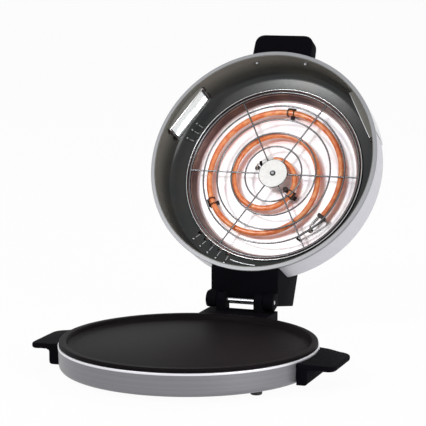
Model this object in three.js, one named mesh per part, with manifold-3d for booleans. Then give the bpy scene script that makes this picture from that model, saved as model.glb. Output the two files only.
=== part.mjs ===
// An electric pizza maker: a round baking plate in a low base, under a deep lid on a rear hinge.
// Millimetres, Z up, front towards -Y. The lid stands open as in the photograph.
import * as THREE from "three";
import { mergeVertices } from "three/addons/utils/BufferGeometryUtils.js";
import Module from "manifold-3d";

const wasm = await Module();
wasm.setup();

// Fits and facets
const clearance = 0.3; // between pieces that seat on each other
const sideGap = 0.5; // between pieces that turn past each other
const overrun = 6; // how far a cutter passes the face that it cuts
const roundSteps = 40;
const smallSteps = 8;
const curveSteps = 4;
const edgeSteps = 2;
const wireSides = 6;
const weldDistance = 1e-4; // corners closer than this are one corner
const flatShare = Math.cos(Math.PI / roundSteps); // a facet's middle, as a share of its radius

// Baking plate
const plateRadius = 160;
const plateThickness = 4.5;
const plateLipHeight = 4.9; // outer wall of the rim, above the band
const plateWellDepth = 6.2; // rim top down to the cooking face
const plateRimWidth = 9;
const plateRimSlope = 4; // width of the slope inside the rim
const plateRimRound = 2;
const bossRadius = 6;
const bossHeight = 6;
const bossInset = 20; // plate edge to the ring of bosses
const bossDegrees = [30, 150, 270];

// Band, floor and feet
const bandHeight = 29.5;
const bandSheet = 1.2;
const bandLipWidth = 3.7;
const bandTaper = 1;
const bandCurveHeight = 7.5;
const bandCurveInset = 8.2;
const bandFlangeWidth = 6;
const floorSheet = 1;
const floorVentCount = 10;
const floorVentLength = 26;
const floorVentWidth = 4;
const footHeight = 7.5;
const footRadius = 8;
const footTaper = 1.2;
const footStemRadius = 3;
const footStemLength = 3;
const frontFootInset = 23;
const frontFootDegrees = 33.7;
const rearFootSpread = 38; // half the distance between the rear feet

// Lower heating element and what holds it
const lowerTubeRadius = 3.3;
const lowerTubeRoom = 0.9; // plate's underside to the tube
const lowerRingGapDegrees = 26;
const legInsetDegrees = 3; // gap's edge in to a leg
const legRunDegrees = 4; // gap's edge to the start of the level run
const lowerRingPoints = 24;
const lowerTubeSteps = 40;
const legHoleRadius = 6.6;
const trayGap = 11; // tray's flange to the bosses
const trayWallGap = 9; // element centre to the tray's wall
const trayWallLean = 4;
const trayFlangeWidth = 10;
const trayDepth = 15.5;
const traySheet = 0.8;
const spacerRadius = 6;
const thermostatRadius = 10;
const thermostatHeight = 9;
const thermostatRise = 2.5;
const thermostatOffset = 50;
const fuseRadius = 2.5;
const fuseLength = 24;
const fuseOffset = 40;
const terminalWidth = 34;
const terminalDepth = 13;
const terminalHeight = 12;
const terminalSetback = 4;
const terminalPocket = 5;
const leadRadius = 1.2;
const leadSteps = 22;
const glandRadius = 9;
const glandFlange = 6;
const glandNeckRadius = 5.5;
const glandBore = 3.6;
const glandDegrees = 58;

// Side handles
const handleRootHalf = 48;
const handleTipHalf = 42;
const handleReach = 37.5; // band to the tip
const handleThickness = 7;
const handleDrop = 3.5; // band top down to the paddle's top
const handleSlopeDegrees = 5; // fall of the paddle outwards
const handleCorner = 16;
const handleEdge = 2;
const handlePadInset = 0.5; // root's side in to the pad's side
const handlePadReach = 6;
const handlePadFoot = 3; // chamfer under the pad's outer face
const handleScrewGrip = 5;
const sideScrewDrop = 16.5; // band top down to the band's screws

// Hinge
const openDegrees = 118;
const hingeReach = 36.8; // band to the hinge line
const hingeRise = 10.5; // closed lid rim up to the hinge line
const pinRadius = 3;
const earRadius = 10;
const earThickness = 12.5;
const earSpread = 20; // half the gap between the ears
const lugThickness = 14;
const lugRise = 1; // lug radius past the ear radius
const undersideGap = 1.6;
const lugWaistShare = 0.6; // rear edge of a lug where it meets the block, as a share of its radius
const bracketHalf = 48;
const bracketHeadroom = 2; // lug down to the bracket's top
const bracketEdge = 4;
const blockHeel = 1;
const blockLean = 20;
const blockDepth = 90.5; // closed lid rim up to the block's top
const blockOverlap = 39.5; // lid edge to the block's front
const blockWall = 3;

// Fasteners
const screwRadius = 2;
const screwHeadRadius = 4;
const screwHeadHeight = 2.2;
const screwGrip = 10; // length in the piece that it holds
const handleScrewInset = 16.7; // pad's side in to a screw
const bracketScrewInset = 22.8; // bracket's side in to a screw
const blockScrewHalf = 16.6; // half the distance between the block's screws
const blockScrewDepth = 20;

// Lid
const lidInset = 0.5; // plate edge to the lid's lip
const lidLipWidth = 5;
const lidLipHeight = 4;
const lidLipStep = 1;
const lidTaper = 1;
const lidSheet = 0.9;
const lidWallDepth = 46;
const lidShoulderRun = 3.5;
const lidShoulderRise = 24;
const lidDomeRise = 12;
const lidDomeSlope = 0.28;
const lidRoom = 4.2; // reflector's back to the shell at the shoulder
const linerSheet = 0.8;
const linerTaper = 0.4;
const linerWallDepth = 38;
const linerCurveRise = 14;
const linerShoulderWidth = 13;
const linerShoulderRise = 16.8;
const linerSlopeWidth = 14.5;
const linerSlopeRise = 2.2;
const linerStart = 0.6;
const ventLength = 6;
const ventWidth = 1.6;
const ventDegrees = [225, 231, 237, 243, 249, 150, 154.5, 160];

// Reflector pan, bezel and guard
const panSheet = 0.8;
const panOverlap = 2.5; // flange behind the liner's edge
const panStep = 6.5; // liner's edge to the pan's wall
const panLean = 3.5;
const panHeight = 17;
const bezelRadius = 1;
const bezelSeat = 0.6; // bezel centre outside the liner's edge
const guardWire = 1.2;
const guardSides = 4;
const spokeWire = 1.1;
const guardInset = 3.5; // liner's edge to the outer ring
const guardRings = 6;
const guardFirstRing = 2;
const guardRingSteps = 6; // facets that each ring has more than the one inside it
const guardSpokes = 6;
const spokeOverhang = 1.6;
const hubRadius = 5.5;
const discRadius = 20;
const discThickness = 1.2;
const postRadius = 7;

// Upper heating element
const tubeRadius = 4;
const tubeInset = 20.5; // pan wall to the outer loop's centre line
const tubeSetback = 6.2; // guard's back to the tube's centre line
const tubeStartDegrees = 100;
const tubeTurnDegrees = 855;
const firstLoopShare = 0.247;
const middleLoopShare = 0.634;
const firstRiseDegrees = [40, 290];
const secondRiseDegrees = [430, 620];
const loopSteps = 30;
const tubeSides = 6;
const clipThickness = 1.2;
const clipWidth = 6;
const clipStem = 3;
const clipFootHalf = 7;
const clipTurnDegrees = [145, 613, 736];
const boltRadius = 2.5;
const boltHeadRadius = 3.8;
const boltHeadHeight = 3;
const boltDegrees = -46;
const boltGap = 3.4; // tube to the bolt's head, towards the centre
const boltRise = 12;
const sleeveRadius = 4.6;
const sleeveLength = 16;
const sleeveLeanDegrees = -8;
const sleeveGap = 1;
const capLength = 3.6;
const capRadius = 3.7;
const innerLeadReach = 10.8; // start of the cap to the lead's hole
const outerLeadReach = 7.2; // end of the beads to the lead's hole
const leadHoleRadius = 3.6;
const leadBend = 4.8;
const leadSpread = 12; // centre plane to each lead behind the pan
const clampRadial = 12;
const clampLength = 5;
const clampDepth = 8;
const beadRadius = 2.4;
const beadNeck = 1.6;
const beadCount = 5;
const beadLength = 13;
const stayRadius = 1.3;
const stayTurnDegrees = 27;
const stayInset = 3; // outer loop's centre line to the stay's inner bend, outwards

// Windows
const rightWindowDegrees = 30;
const leftWindowDegrees = 150;
const windowHalf = 37;
const windowStart = 8;
const windowHeight = 38;
const windowFrame = 2.5;
const windowStandIn = 9.5; // liner wall in to the frame's inner face
const windowProud = 0.6;
const windowTab = 1;
const windowTabLength = 7;
const windowLedge = 1.8;
const glassThickness = 2;

// Lid handle
const gripHalf = 42;
const gripReach = 30;
const gripStart = 10;
const gripHeight = 25;
const gripCorner = 15;
const gripFlare = 1.5; // how much wider the grip is at the lid, on each side
const gripEdge = 2;
const gripPlateHalf = 49;
const gripPlateThickness = 2.6;
const gripPlateMargin = 3;
const gripScrewInset = 5.2; // grip's side in to a screw
const gripScrewDepth = 15;

// Heights up from the table, with the lid closed
const bandBottomZ = footHeight;
const bandTopZ = bandBottomZ + bandHeight;
const plateLipZ = bandTopZ + clearance;
const rimTopZ = plateLipZ + plateLipHeight;
const cookingZ = rimTopZ - plateWellDepth;
const plateUnderZ = cookingZ - plateThickness;
const lidRimZ = rimTopZ + clearance;
const floorZ = bandBottomZ + bandSheet + clearance;
const floorTopZ = floorZ + floorSheet;
const trayTopZ = plateUnderZ - clearance;
const trayFloorZ = trayTopZ - trayDepth;
const lowerTubeZ = plateUnderZ - lowerTubeRoom - lowerTubeRadius;
const lowerLegZ = floorTopZ + clearance;
const handleTopZ = bandTopZ - handleDrop;
const handleUnderZ = handleTopZ - handleThickness;
const sideScrewZ = bandTopZ - sideScrewDrop;
const hingeZ = lidRimZ + hingeRise;

// Radii and reaches
const bandRadius = plateRadius + bandSheet;
const seatRadius = bandRadius + clearance;
const handlePadHalf = handleRootHalf - handlePadInset;
const bandInnerRadius = bandRadius - bandTaper - bandSheet;
const bandFootRadius = bandRadius - bandTaper - bandCurveInset;
const plateBodyRadius = bandRadius - bandLipWidth - clearance;
const bossCircle = plateRadius - bossInset;
const trayEdgeRadius = bossCircle - bossRadius - trayGap;
const trayInnerRadius = trayEdgeRadius - trayFlangeWidth - trayWallLean;
const lowerRingRadius = trayInnerRadius - trayWallGap;
const screwHoleRadius = screwRadius + clearance;
const hingeY = bandRadius + hingeReach;
const pinHoleRadius = pinRadius + clearance;
const lugRadius = earRadius + lugRise;
const undersideOffset = earRadius + undersideGap;
const earOuter = earSpread + earThickness;
const lugInner = earOuter + sideGap;
const blockHalf = lugInner + lugThickness;
const bracketTopZ = hingeZ - lugRadius - bracketHeadroom;
const rearFootY = hingeY - earRadius;
const lidRadius = plateRadius - lidInset;
const lidWallRadius = lidRadius - lidLipStep;
const lidUpperRadius = lidWallRadius - lidTaper;
const linerRadius = lidRadius - lidLipWidth - clearance - linerSheet;
const linerUpperRadius = linerRadius - linerTaper;
const linerShoulderRadius = linerUpperRadius - linerShoulderWidth;
const linerEdgeRadius = linerShoulderRadius - linerSlopeWidth;
const panWallRadius = linerEdgeRadius - panStep;
const panFloorRadius = panWallRadius - panLean;
const guardRadius = linerEdgeRadius - guardInset;
const ringPitch = guardRadius / guardRings;
const outerLoopRadius = panFloorRadius - tubeInset;
const tubeBow = outerLoopRadius * (1 - Math.cos(Math.PI / loopSteps)); // a straight step's rise off its arc
const windowFaceRadius = linerRadius - windowStandIn;
const glassInner = windowFaceRadius + windowTab + clearance;
const glassOuter = glassInner + glassThickness;
const terminalBackY = bandFootRadius - terminalSetback;
const terminalFrontY = terminalBackY - terminalDepth;
const bandScrewReach = seatRadius + screwGrip + screwRadius;
const beyond = 2 * lidRadius; // a cutter's reach past the whole lid

// Depths into the lid, measured from its rim
const linerShoulderDepth = linerWallDepth + linerShoulderRise;
const linerEdgeDepth = linerShoulderDepth + linerSlopeRise;
const panFlangeDepth = linerEdgeDepth + linerSheet + clearance;
const panFloorDepth = panFlangeDepth + panHeight;
const panBackDepth = panFloorDepth + panSheet;
const guardDepth = panFlangeDepth - clearance - guardWire;
const discBackDepth = guardDepth - guardWire - clearance;
const discFrontDepth = discBackDepth - discThickness;
const tubeDepth = guardDepth + guardWire + tubeSetback;
const shoulderDepth = panBackDepth + lidRoom;
const lidDepth = shoulderDepth + lidDomeRise;
const leadDepth = panBackDepth + (lidRoom - lidSheet) / 2;
const leadExitDepth = linerEdgeDepth + linerSheet + leadHoleRadius;
const guardPostFront = guardDepth + guardWire + clearance;
const guardPostBack = panFloorDepth - clearance;
const windowEnd = windowStart + windowHeight;

const { degToRad } = THREE.MathUtils;
const xAxis = new THREE.Vector3(1, 0, 0);
const yAxis = new THREE.Vector3(0, 1, 0);
const zAxis = new THREE.Vector3(0, 0, 1);

// Angles and places, with 0 degrees at +X
const degreesAcross = (half, radius) => THREE.MathUtils.radToDeg(Math.asin(half / radius));
const handleScrewDegrees = degreesAcross(handlePadHalf - handleScrewInset, seatRadius);
const bracketScrewDegrees = degreesAcross(bracketHalf - bracketScrewInset, seatRadius);
const blockScrewDegrees = degreesAcross(blockScrewHalf, lidWallRadius);
const gripScrewDegrees = degreesAcross(gripHalf - gripScrewInset, lidWallRadius);
const windowDegrees = { right: rightWindowDegrees, left: leftWindowDegrees };
const blockSlope = degToRad(openDegrees - 90);
const legHalfDegrees = lowerRingGapDegrees / 2 - legInsetDegrees;
const blockScrewAngles = [90 - blockScrewDegrees, 90 + blockScrewDegrees];
const gripScrewAngles = [-90 - gripScrewDegrees, -90 + gripScrewDegrees];
const clampDegrees = tubeStartDegrees - tubeTurnDegrees;
const pivot = new THREE.Vector2(hingeY, hingeZ);
const frontFeet = [180 + frontFootDegrees, -frontFootDegrees].map((degrees) => ({
  x: (plateRadius - frontFootInset) * Math.cos(degToRad(degrees)),
  y: (plateRadius - frontFootInset) * Math.sin(degToRad(degrees)),
}));
const rearFeet = [-rearFootSpread, rearFootSpread].map((x) => ({ x, y: rearFootY }));

// Shape helpers: each returns a closed geometry

// An outline of [radius, height] points turned about Z.
function turned(outline, steps = roundSteps) {
  const points = outline.map(([radius, height]) => new THREE.Vector2(radius, height));
  if (points[0].x > 0) points.push(points[0].clone());
  return new THREE.LatheGeometry(points, steps).rotateX(Math.PI / 2);
}

function ring(radius, wire, steps, sides = wireSides) {
  return new THREE.TorusGeometry(radius, wire, sides, steps);
}

function box(x, y, z) {
  const sizes = [x, y, z].map(([low, high]) => high - low);
  const middles = [x, y, z].map(([low, high]) => (low + high) / 2);
  return new THREE.BoxGeometry(...sizes).translate(...middles);
}

// A flat outline in the plane of two axes, extruded along the third, with rounded edges where asked for.
function prism(outline, [from, to], across, up, edge = 0) {
  const settings = {
    depth: to - from - 2 * edge,
    curveSegments: curveSteps,
    bevelEnabled: edge > 0,
    bevelThickness: edge,
    bevelSize: edge,
    bevelOffset: -edge,
    bevelSegments: edgeSteps,
  };
  const normal = new THREE.Vector3().crossVectors(across, up);
  const geometry = new THREE.ExtrudeGeometry(outline, settings).translate(0, 0, from + edge);
  return geometry.applyMatrix4(new THREE.Matrix4().makeBasis(across, up, normal));
}

function tube(curve, radius, steps, sides = tubeSides) {
  const section = new THREE.Shape();
  section.absarc(0, 0, radius, 0, 2 * Math.PI);
  const settings = { extrudePath: curve, steps, curveSegments: sides / 2, bevelEnabled: false };
  return new THREE.ExtrudeGeometry(section, settings);
}

function polygon(points) {
  return new THREE.Shape(points.map(([x, y]) => new THREE.Vector2(x, y)));
}

// A piece made along Z laid along a radius of the part, at an angle from +X and a height.
function radial(geometry, degrees, height) {
  return geometry.rotateY(Math.PI / 2).rotateZ(degToRad(degrees)).translate(0, 0, height);
}

// Points moved sideways by a distance, to the left of their run, with mitred corners.
function moved(points, distance, closed = false) {
  const last = points.length - 1;
  return points.map(([x, y], i) => {
    const before = points[i > 0 ? i - 1 : closed ? last : 0];
    const after = points[i < last ? i + 1 : closed ? 0 : last];
    const into = new THREE.Vector2(x - before[0], y - before[1]).normalize();
    const out = new THREE.Vector2(after[0] - x, after[1] - y).normalize();
    const run = into.clone().add(out).normalize();
    const side = new THREE.Vector2(-run.y, run.x);
    const reach = distance / (into.lengthSq() ? side.dot(new THREE.Vector2(-into.y, into.x)) : 1);
    return x === 0 ? [0, y + Math.sign(side.y) * distance] : [x + side.x * reach, y + side.y * reach];
  });
}

// The outline of a sheet whose shown face follows the points, with its thickness to their left.
function sheet(points, thickness) {
  return [...moved(points, thickness).reverse(), ...points];
}

const pathPoints = (path) => path.getPoints(curveSteps).map(({ x, y }) => [x, y]);

// Screw with a low domed head below its seat and a shank up to its tip.
function screwOutline(seat, tip, shank = screwRadius) {
  const crown = seat - screwHeadHeight;
  return [
    [0, crown],
    [screwHeadRadius - screwHeadHeight / 2, crown],
    [screwHeadRadius, seat],
    [shank, seat],
    [shank, tip],
    [0, tip],
  ];
}

const rodOutline = (radius, from, to) => [[0, from], [radius, from], [radius, to], [0, to]];
const rod = (radius, from, to, steps = smallSteps) => turned(rodOutline(radius, from, to), steps);

// Solids

// A closed geometry as a solid, facing outwards.
function solid(geometry) {
  const bare = new THREE.BufferGeometry();
  bare.setAttribute("position", geometry.getAttribute("position"));
  if (geometry.index) bare.setIndex(geometry.index);
  const merged = mergeVertices(bare, weldDistance);
  const corners = [...merged.index.array];
  const faces = [];
  for (let i = 0; i < corners.length; i += 3) {
    const [a, b, c] = corners.slice(i, i + 3);
    if (a !== b && b !== c && c !== a) faces.push(a, b, c);
  }
  const vertProperties = merged.attributes.position.array;
  const build = (triVerts) => new wasm.Manifold(new wasm.Mesh({ numProp: 3, vertProperties, triVerts }));
  const made = build(Uint32Array.from(faces));
  return made.volume() > 0 ? made : build(Uint32Array.from(faces.reverse()));
}

const joined = (...geometries) => geometries.map(solid).reduce((whole, next) => whole.add(next));
const cut = (body, ...cutters) => cutters.reduce((rest, cutter) => rest.subtract(solid(cutter)), body);

// Points in the lid: 0 degrees is +X and 90 degrees is the front.
function lidPoint(degrees, radius, depth) {
  const turn = degToRad(degrees);
  return new THREE.Vector3(radius * Math.cos(turn), -radius * Math.sin(turn), lidRimZ + depth);
}

const lidTurned = (outline, steps) => turned(outline, steps).translate(0, 0, lidRimZ);

// A screw's hole along a radius, from inside the part out to a reach.
const screwHole = (degrees, height, reach = beyond) =>
  radial(rod(screwHoleRadius, overrun, reach), degrees, height);

// Base pieces

function bakingPlate() {
  const outline = new THREE.Path();
  const slopeFoot = plateRadius - plateRimWidth - plateRimSlope;
  outline.moveTo(0, plateUnderZ);
  outline.lineTo(plateBodyRadius, plateUnderZ);
  outline.lineTo(plateBodyRadius, plateLipZ);
  outline.lineTo(plateRadius, plateLipZ);
  outline.lineTo(plateRadius, rimTopZ - plateRimRound);
  outline.quadraticCurveTo(plateRadius, rimTopZ, plateRadius - plateRimRound, rimTopZ);
  outline.lineTo(plateRadius - plateRimWidth + plateRimRound, rimTopZ);
  outline.quadraticCurveTo(
    plateRadius - plateRimWidth,
    rimTopZ,
    slopeFoot + plateRimRound,
    cookingZ + plateRimRound,
  );
  outline.lineTo(slopeFoot, cookingZ);
  outline.lineTo(0, cookingZ);
  const bossZ = plateUnderZ - bossHeight;
  const centreBossZ = trayFloorZ + clearance;
  const bossTop = plateUnderZ + clearance;
  const bosses = bossDegrees.map((degrees) => atBoss(rod(bossRadius, bossZ, bossTop), degrees));
  const body = joined(turned(pathPoints(outline)), ...bosses, rod(bossRadius, centreBossZ, bossTop));
  const holeTop = plateUnderZ + plateThickness / 2;
  const holes = bossDegrees.map((degrees) => atBoss(rod(screwHoleRadius, bossZ - overrun, holeTop), degrees));
  return cut(body, ...holes, rod(screwHoleRadius, centreBossZ - overrun, holeTop));
}

function atBoss(geometry, degrees) {
  const turn = degToRad(degrees);
  return geometry.translate(bossCircle * Math.cos(turn), bossCircle * Math.sin(turn), 0);
}

function baseBand() {
  const face = new THREE.Path();
  const curveTopRadius = bandRadius - bandTaper;
  face.moveTo(bandFootRadius - bandFlangeWidth, bandBottomZ);
  face.lineTo(bandFootRadius, bandBottomZ);
  face.quadraticCurveTo(curveTopRadius, bandBottomZ, curveTopRadius, bandBottomZ + bandCurveHeight);
  face.lineTo(bandRadius, bandTopZ);
  face.lineTo(bandRadius - bandLipWidth, bandTopZ);
  const body = solid(turned(sheet(pathPoints(face), bandSheet)));
  const sides = [0, 180].flatMap((side) => [side - handleScrewDegrees, side + handleScrewDegrees]);
  const rear = [90 - bracketScrewDegrees, 90 + bracketScrewDegrees];
  const holes = [...sides, ...rear].map((degrees) => screwHole(degrees, sideScrewZ));
  const glandHole = rod(glandNeckRadius + clearance, overrun, seatRadius + overrun);
  return cut(body, ...holes, radial(glandHole, glandDegrees, sideScrewZ));
}

function baseFloor() {
  const body = solid(rod(bandFootRadius, floorZ, floorTopZ, roundSteps));
  const span = [floorZ - overrun, floorTopZ + overrun];
  const across = [-floorVentWidth / 2, floorVentWidth / 2];
  const along = [lowerRingRadius - floorVentLength, lowerRingRadius];
  const vents = Array.from({ length: floorVentCount }, (_, i) =>
    box(along, across, span).rotateZ(((i + 0.5) * 2 * Math.PI) / floorVentCount),
  );
  const feet = frontFeet.map(({ x, y }) => rod(footStemRadius + clearance, ...span).translate(x, y, 0));
  const screws = bossDegrees.map((degrees) => atBoss(rod(screwHoleRadius, ...span), degrees));
  return cut(body, ...vents, ...feet, ...screws, rod(screwHoleRadius, ...span));
}

// A rubber foot whose stem goes up into the plate above it.
function foot({ x, y }, seat) {
  const outline = [
    [0, 0],
    [footRadius - footTaper, 0],
    [footRadius, seat],
    [footStemRadius, seat],
    [footStemRadius, seat + footStemLength],
    [0, seat + footStemLength],
  ];
  return solid(turned(outline, smallSteps).translate(x, y, 0));
}

function lowerElement() {
  const start = 90 + lowerRingGapDegrees / 2 + legRunDegrees;
  const run = 360 - lowerRingGapDegrees - 2 * legRunDegrees;
  const points = [];
  const at = (degrees, height) => {
    const turn = degToRad(degrees);
    const [x, y] = [lowerRingRadius * Math.cos(turn), lowerRingRadius * Math.sin(turn)];
    points.push(new THREE.Vector3(x, y, height));
  };
  const legHeights = [lowerLegZ, (lowerLegZ + lowerTubeZ) / 2];
  legHeights.forEach((height) => at(90 + legHalfDegrees, height));
  for (let i = 0; i <= lowerRingPoints; i += 1) at(start + (i * run) / lowerRingPoints, lowerTubeZ);
  legHeights.reverse().forEach((height) => at(90 - legHalfDegrees, height));
  const curve = new THREE.CatmullRomCurve3(points, false, "centripetal");
  return solid(tube(curve, lowerTubeRadius, lowerTubeSteps, wireSides));
}

function lowerTray() {
  const face = [
    [trayEdgeRadius, trayTopZ],
    [trayEdgeRadius - trayFlangeWidth, trayTopZ],
    [trayInnerRadius, trayFloorZ],
    [0, trayFloorZ],
  ];
  const body = solid(turned(sheet(face, traySheet)));
  const span = [trayFloorZ - overrun, trayFloorZ + overrun];
  const legs = [90 - legHalfDegrees, 90 + legHalfDegrees].map((degrees) => {
    const turn = degToRad(degrees);
    const hole = rod(legHoleRadius, ...span);
    return hole.translate(lowerRingRadius * Math.cos(turn), lowerRingRadius * Math.sin(turn), 0);
  });
  return cut(body, ...legs, rod(screwHoleRadius, ...span));
}

function centreSpacer() {
  const body = solid(rod(spacerRadius, floorTopZ + clearance, trayFloorZ - traySheet - clearance));
  return cut(body, rod(screwHoleRadius, floorZ - overrun, trayFloorZ + overrun));
}

function thermostat() {
  const top = plateUnderZ - clearance;
  const bottom = top - thermostatHeight;
  const outline = [
    [0, bottom],
    [thermostatRadius - thermostatRise, bottom],
    [thermostatRadius - thermostatRise, bottom + thermostatRise],
    [thermostatRadius, bottom + thermostatRise],
    [thermostatRadius, top],
    [0, top],
  ];
  return solid(turned(outline, smallSteps).translate(0, -thermostatOffset, 0));
}

function thermalFuse() {
  const half = fuseLength / 2;
  const tip = fuseRadius / 2;
  const outline = [
    [0, -half],
    [tip, -half],
    [fuseRadius, tip - half],
    [fuseRadius, half - tip],
    [tip, half],
    [0, half],
  ];
  const height = trayFloorZ + clearance + fuseRadius;
  return solid(turned(outline, smallSteps).rotateY(Math.PI / 2).translate(0, fuseOffset, height));
}

function terminalBlock() {
  const baseZ = floorTopZ + clearance;
  const topZ = baseZ + terminalHeight;
  const half = terminalWidth / 2;
  const body = solid(box([-half, half], [terminalFrontY, terminalBackY], [baseZ, topZ]));
  const middleY = (terminalFrontY + terminalBackY) / 2;
  const pockets = [-1, 0, 1].map((place) => {
    const pocket = rod(screwRadius, topZ - terminalPocket, topZ + overrun);
    return pocket.translate((place * terminalWidth) / 3, middleY, 0);
  });
  return cut(body, ...pockets);
}

// A lead under the tray, from a leg of the element back to the terminal block.
function lowerLead(side) {
  const height = floorTopZ + clearance + leadRadius;
  const turn = degToRad(legHalfDegrees);
  const legX = lowerRingRadius * Math.sin(turn);
  const legY = lowerRingRadius * Math.cos(turn) + lowerTubeRadius + clearance;
  const endX = terminalWidth / 3;
  const endY = terminalFrontY - clearance;
  const points = [
    new THREE.Vector3(side * legX, legY, height),
    new THREE.Vector3(side * legX, (2 * legY + endY) / 3, height),
    new THREE.Vector3(side * endX, (legY + 2 * endY) / 3, height),
    new THREE.Vector3(side * endX, endY, height),
  ];
  return solid(tube(new THREE.CatmullRomCurve3(points), leadRadius, smallSteps, wireSides));
}

function cordGland() {
  const outerFace = seatRadius;
  const innerFace = bandInnerRadius - bandTaper - clearance;
  const outline = [
    [glandBore, innerFace - glandFlange / 2],
    [glandRadius, innerFace - glandFlange / 2],
    [glandRadius, innerFace],
    [glandNeckRadius, innerFace],
    [glandNeckRadius, outerFace],
    [glandRadius, outerFace],
    [glandNeckRadius, outerFace + glandFlange],
    [glandBore, outerFace + glandFlange],
  ];
  return solid(radial(turned(outline, smallSteps), glandDegrees, sideScrewZ));
}

function sideHandle(side) {
  const tipX = bandRadius + handleReach;
  const rootX = seatRadius - handleReach;
  const padX = seatRadius + handlePadReach;
  const paddle = new THREE.Shape();
  paddle.moveTo(rootX, -handleRootHalf);
  paddle.lineTo(padX, -handleRootHalf);
  paddle.lineTo(tipX - handleCorner, -handleTipHalf);
  paddle.quadraticCurveTo(tipX, -handleTipHalf, tipX, handleCorner - handleTipHalf);
  paddle.lineTo(tipX, handleTipHalf - handleCorner);
  paddle.quadraticCurveTo(tipX, handleTipHalf, tipX - handleCorner, handleTipHalf);
  paddle.lineTo(padX, handleRootHalf);
  paddle.lineTo(rootX, handleRootHalf);
  const padTopZ = (handleUnderZ + handleTopZ) / 2;
  const pad = polygon([
    [rootX, bandBottomZ],
    [padX - handlePadFoot, bandBottomZ],
    [padX, bandBottomZ + handlePadFoot],
    [padX, padTopZ],
    [rootX, padTopZ],
  ]);
  const flat = prism(paddle, [handleUnderZ, handleTopZ], xAxis, yAxis, handleEdge);
  const sloped = flat.translate(-seatRadius, 0, -handleTopZ).rotateY(degToRad(handleSlopeDegrees));
  const body = joined(
    sloped.translate(seatRadius, 0, handleTopZ),
    prism(pad, [-handlePadHalf, handlePadHalf], xAxis, zAxis),
  );
  const screwReach = seatRadius + handleScrewGrip + screwRadius;
  const holes = [-handleScrewDegrees, handleScrewDegrees].map((degrees) =>
    screwHole(degrees, sideScrewZ, screwReach),
  );
  const made = cut(body, rod(seatRadius, 0, 2 * handleTopZ, roundSteps), ...holes);
  return side > 0 ? made : made.mirror([1, 0, 0]);
}

// A screw from inside the base, through the band and into what is outside it.
function bandScrew(degrees, grip) {
  const seat = bandInnerRadius - clearance - bandTaper / 2;
  return solid(radial(turned(screwOutline(seat, seatRadius + grip), smallSteps), degrees, sideScrewZ));
}

function plateScrew(tip) {
  return turned(screwOutline(floorZ - clearance, tip), smallSteps);
}

// Hinge pieces

function hingeBracket() {
  const backY = hingeY + earRadius;
  const frontY = bandInnerRadius - overrun - bracketEdge;
  const body = polygon([
    [frontY, bandBottomZ],
    [backY - bracketEdge, bandBottomZ],
    [backY, bandBottomZ + bracketEdge],
    [backY, bracketTopZ],
    [frontY, bracketTopZ],
  ]);
  const ear = new THREE.Shape();
  ear.moveTo(backY, bracketTopZ - overrun);
  ear.lineTo(backY, hingeZ);
  ear.absarc(hingeY, hingeZ, earRadius, 0, Math.PI);
  ear.lineTo(hingeY - earRadius, bracketTopZ - overrun);
  const ears = [[-earOuter, -earSpread], [earSpread, earOuter]].map((span) => prism(ear, span, yAxis, zAxis));
  const holes = [90 - bracketScrewDegrees, 90 + bracketScrewDegrees].map((degrees) =>
    screwHole(degrees, sideScrewZ, bandScrewReach),
  );
  const stems = rearFeet.map(({ x, y }) =>
    rod(footStemRadius + clearance, 0, bandBottomZ + footStemLength).translate(x, y, 0),
  );
  return cut(
    joined(prism(body, [-bracketHalf, bracketHalf], yAxis, zAxis), ...ears),
    rod(seatRadius, 0, hingeZ, roundSteps),
    pinHole(),
    ...holes,
    ...stems,
  );
}

function alongHinge(geometry) {
  return geometry.rotateY(Math.PI / 2).translate(0, hingeY, hingeZ);
}

const pinHole = () => alongHinge(rod(pinHoleRadius, -blockHalf - overrun, blockHalf + overrun, smallSteps));

function hingePin() {
  const half = blockHalf - clearance;
  const round = pinRadius / 3;
  const outline = [
    [0, -half],
    [pinRadius - round, -half],
    [pinRadius, round - half],
    [pinRadius, half - round],
    [pinRadius - round, half],
    [0, half],
  ];
  return solid(alongHinge(turned(outline, smallSteps)));
}

// The block's side outline with the lid closed: its underside stands upright when the lid is open.
function blockOutline() {
  const away = new THREE.Vector2(-Math.sin(blockSlope), Math.cos(blockSlope));
  const nearest = pivot.clone().addScaledVector(away, undersideOffset);
  const undersideAt = (y) => [y, nearest.y + (y - nearest.x) * Math.tan(blockSlope)];
  const topZ = lidRimZ + blockDepth;
  const frontY = lidRadius - blockOverlap;
  const toe = undersideAt(lidUpperRadius);
  return [toe, undersideAt(hingeY + blockHeel), [hingeY - blockLean, topZ], [frontY, topZ], [frontY, toe[1]]];
}

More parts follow.
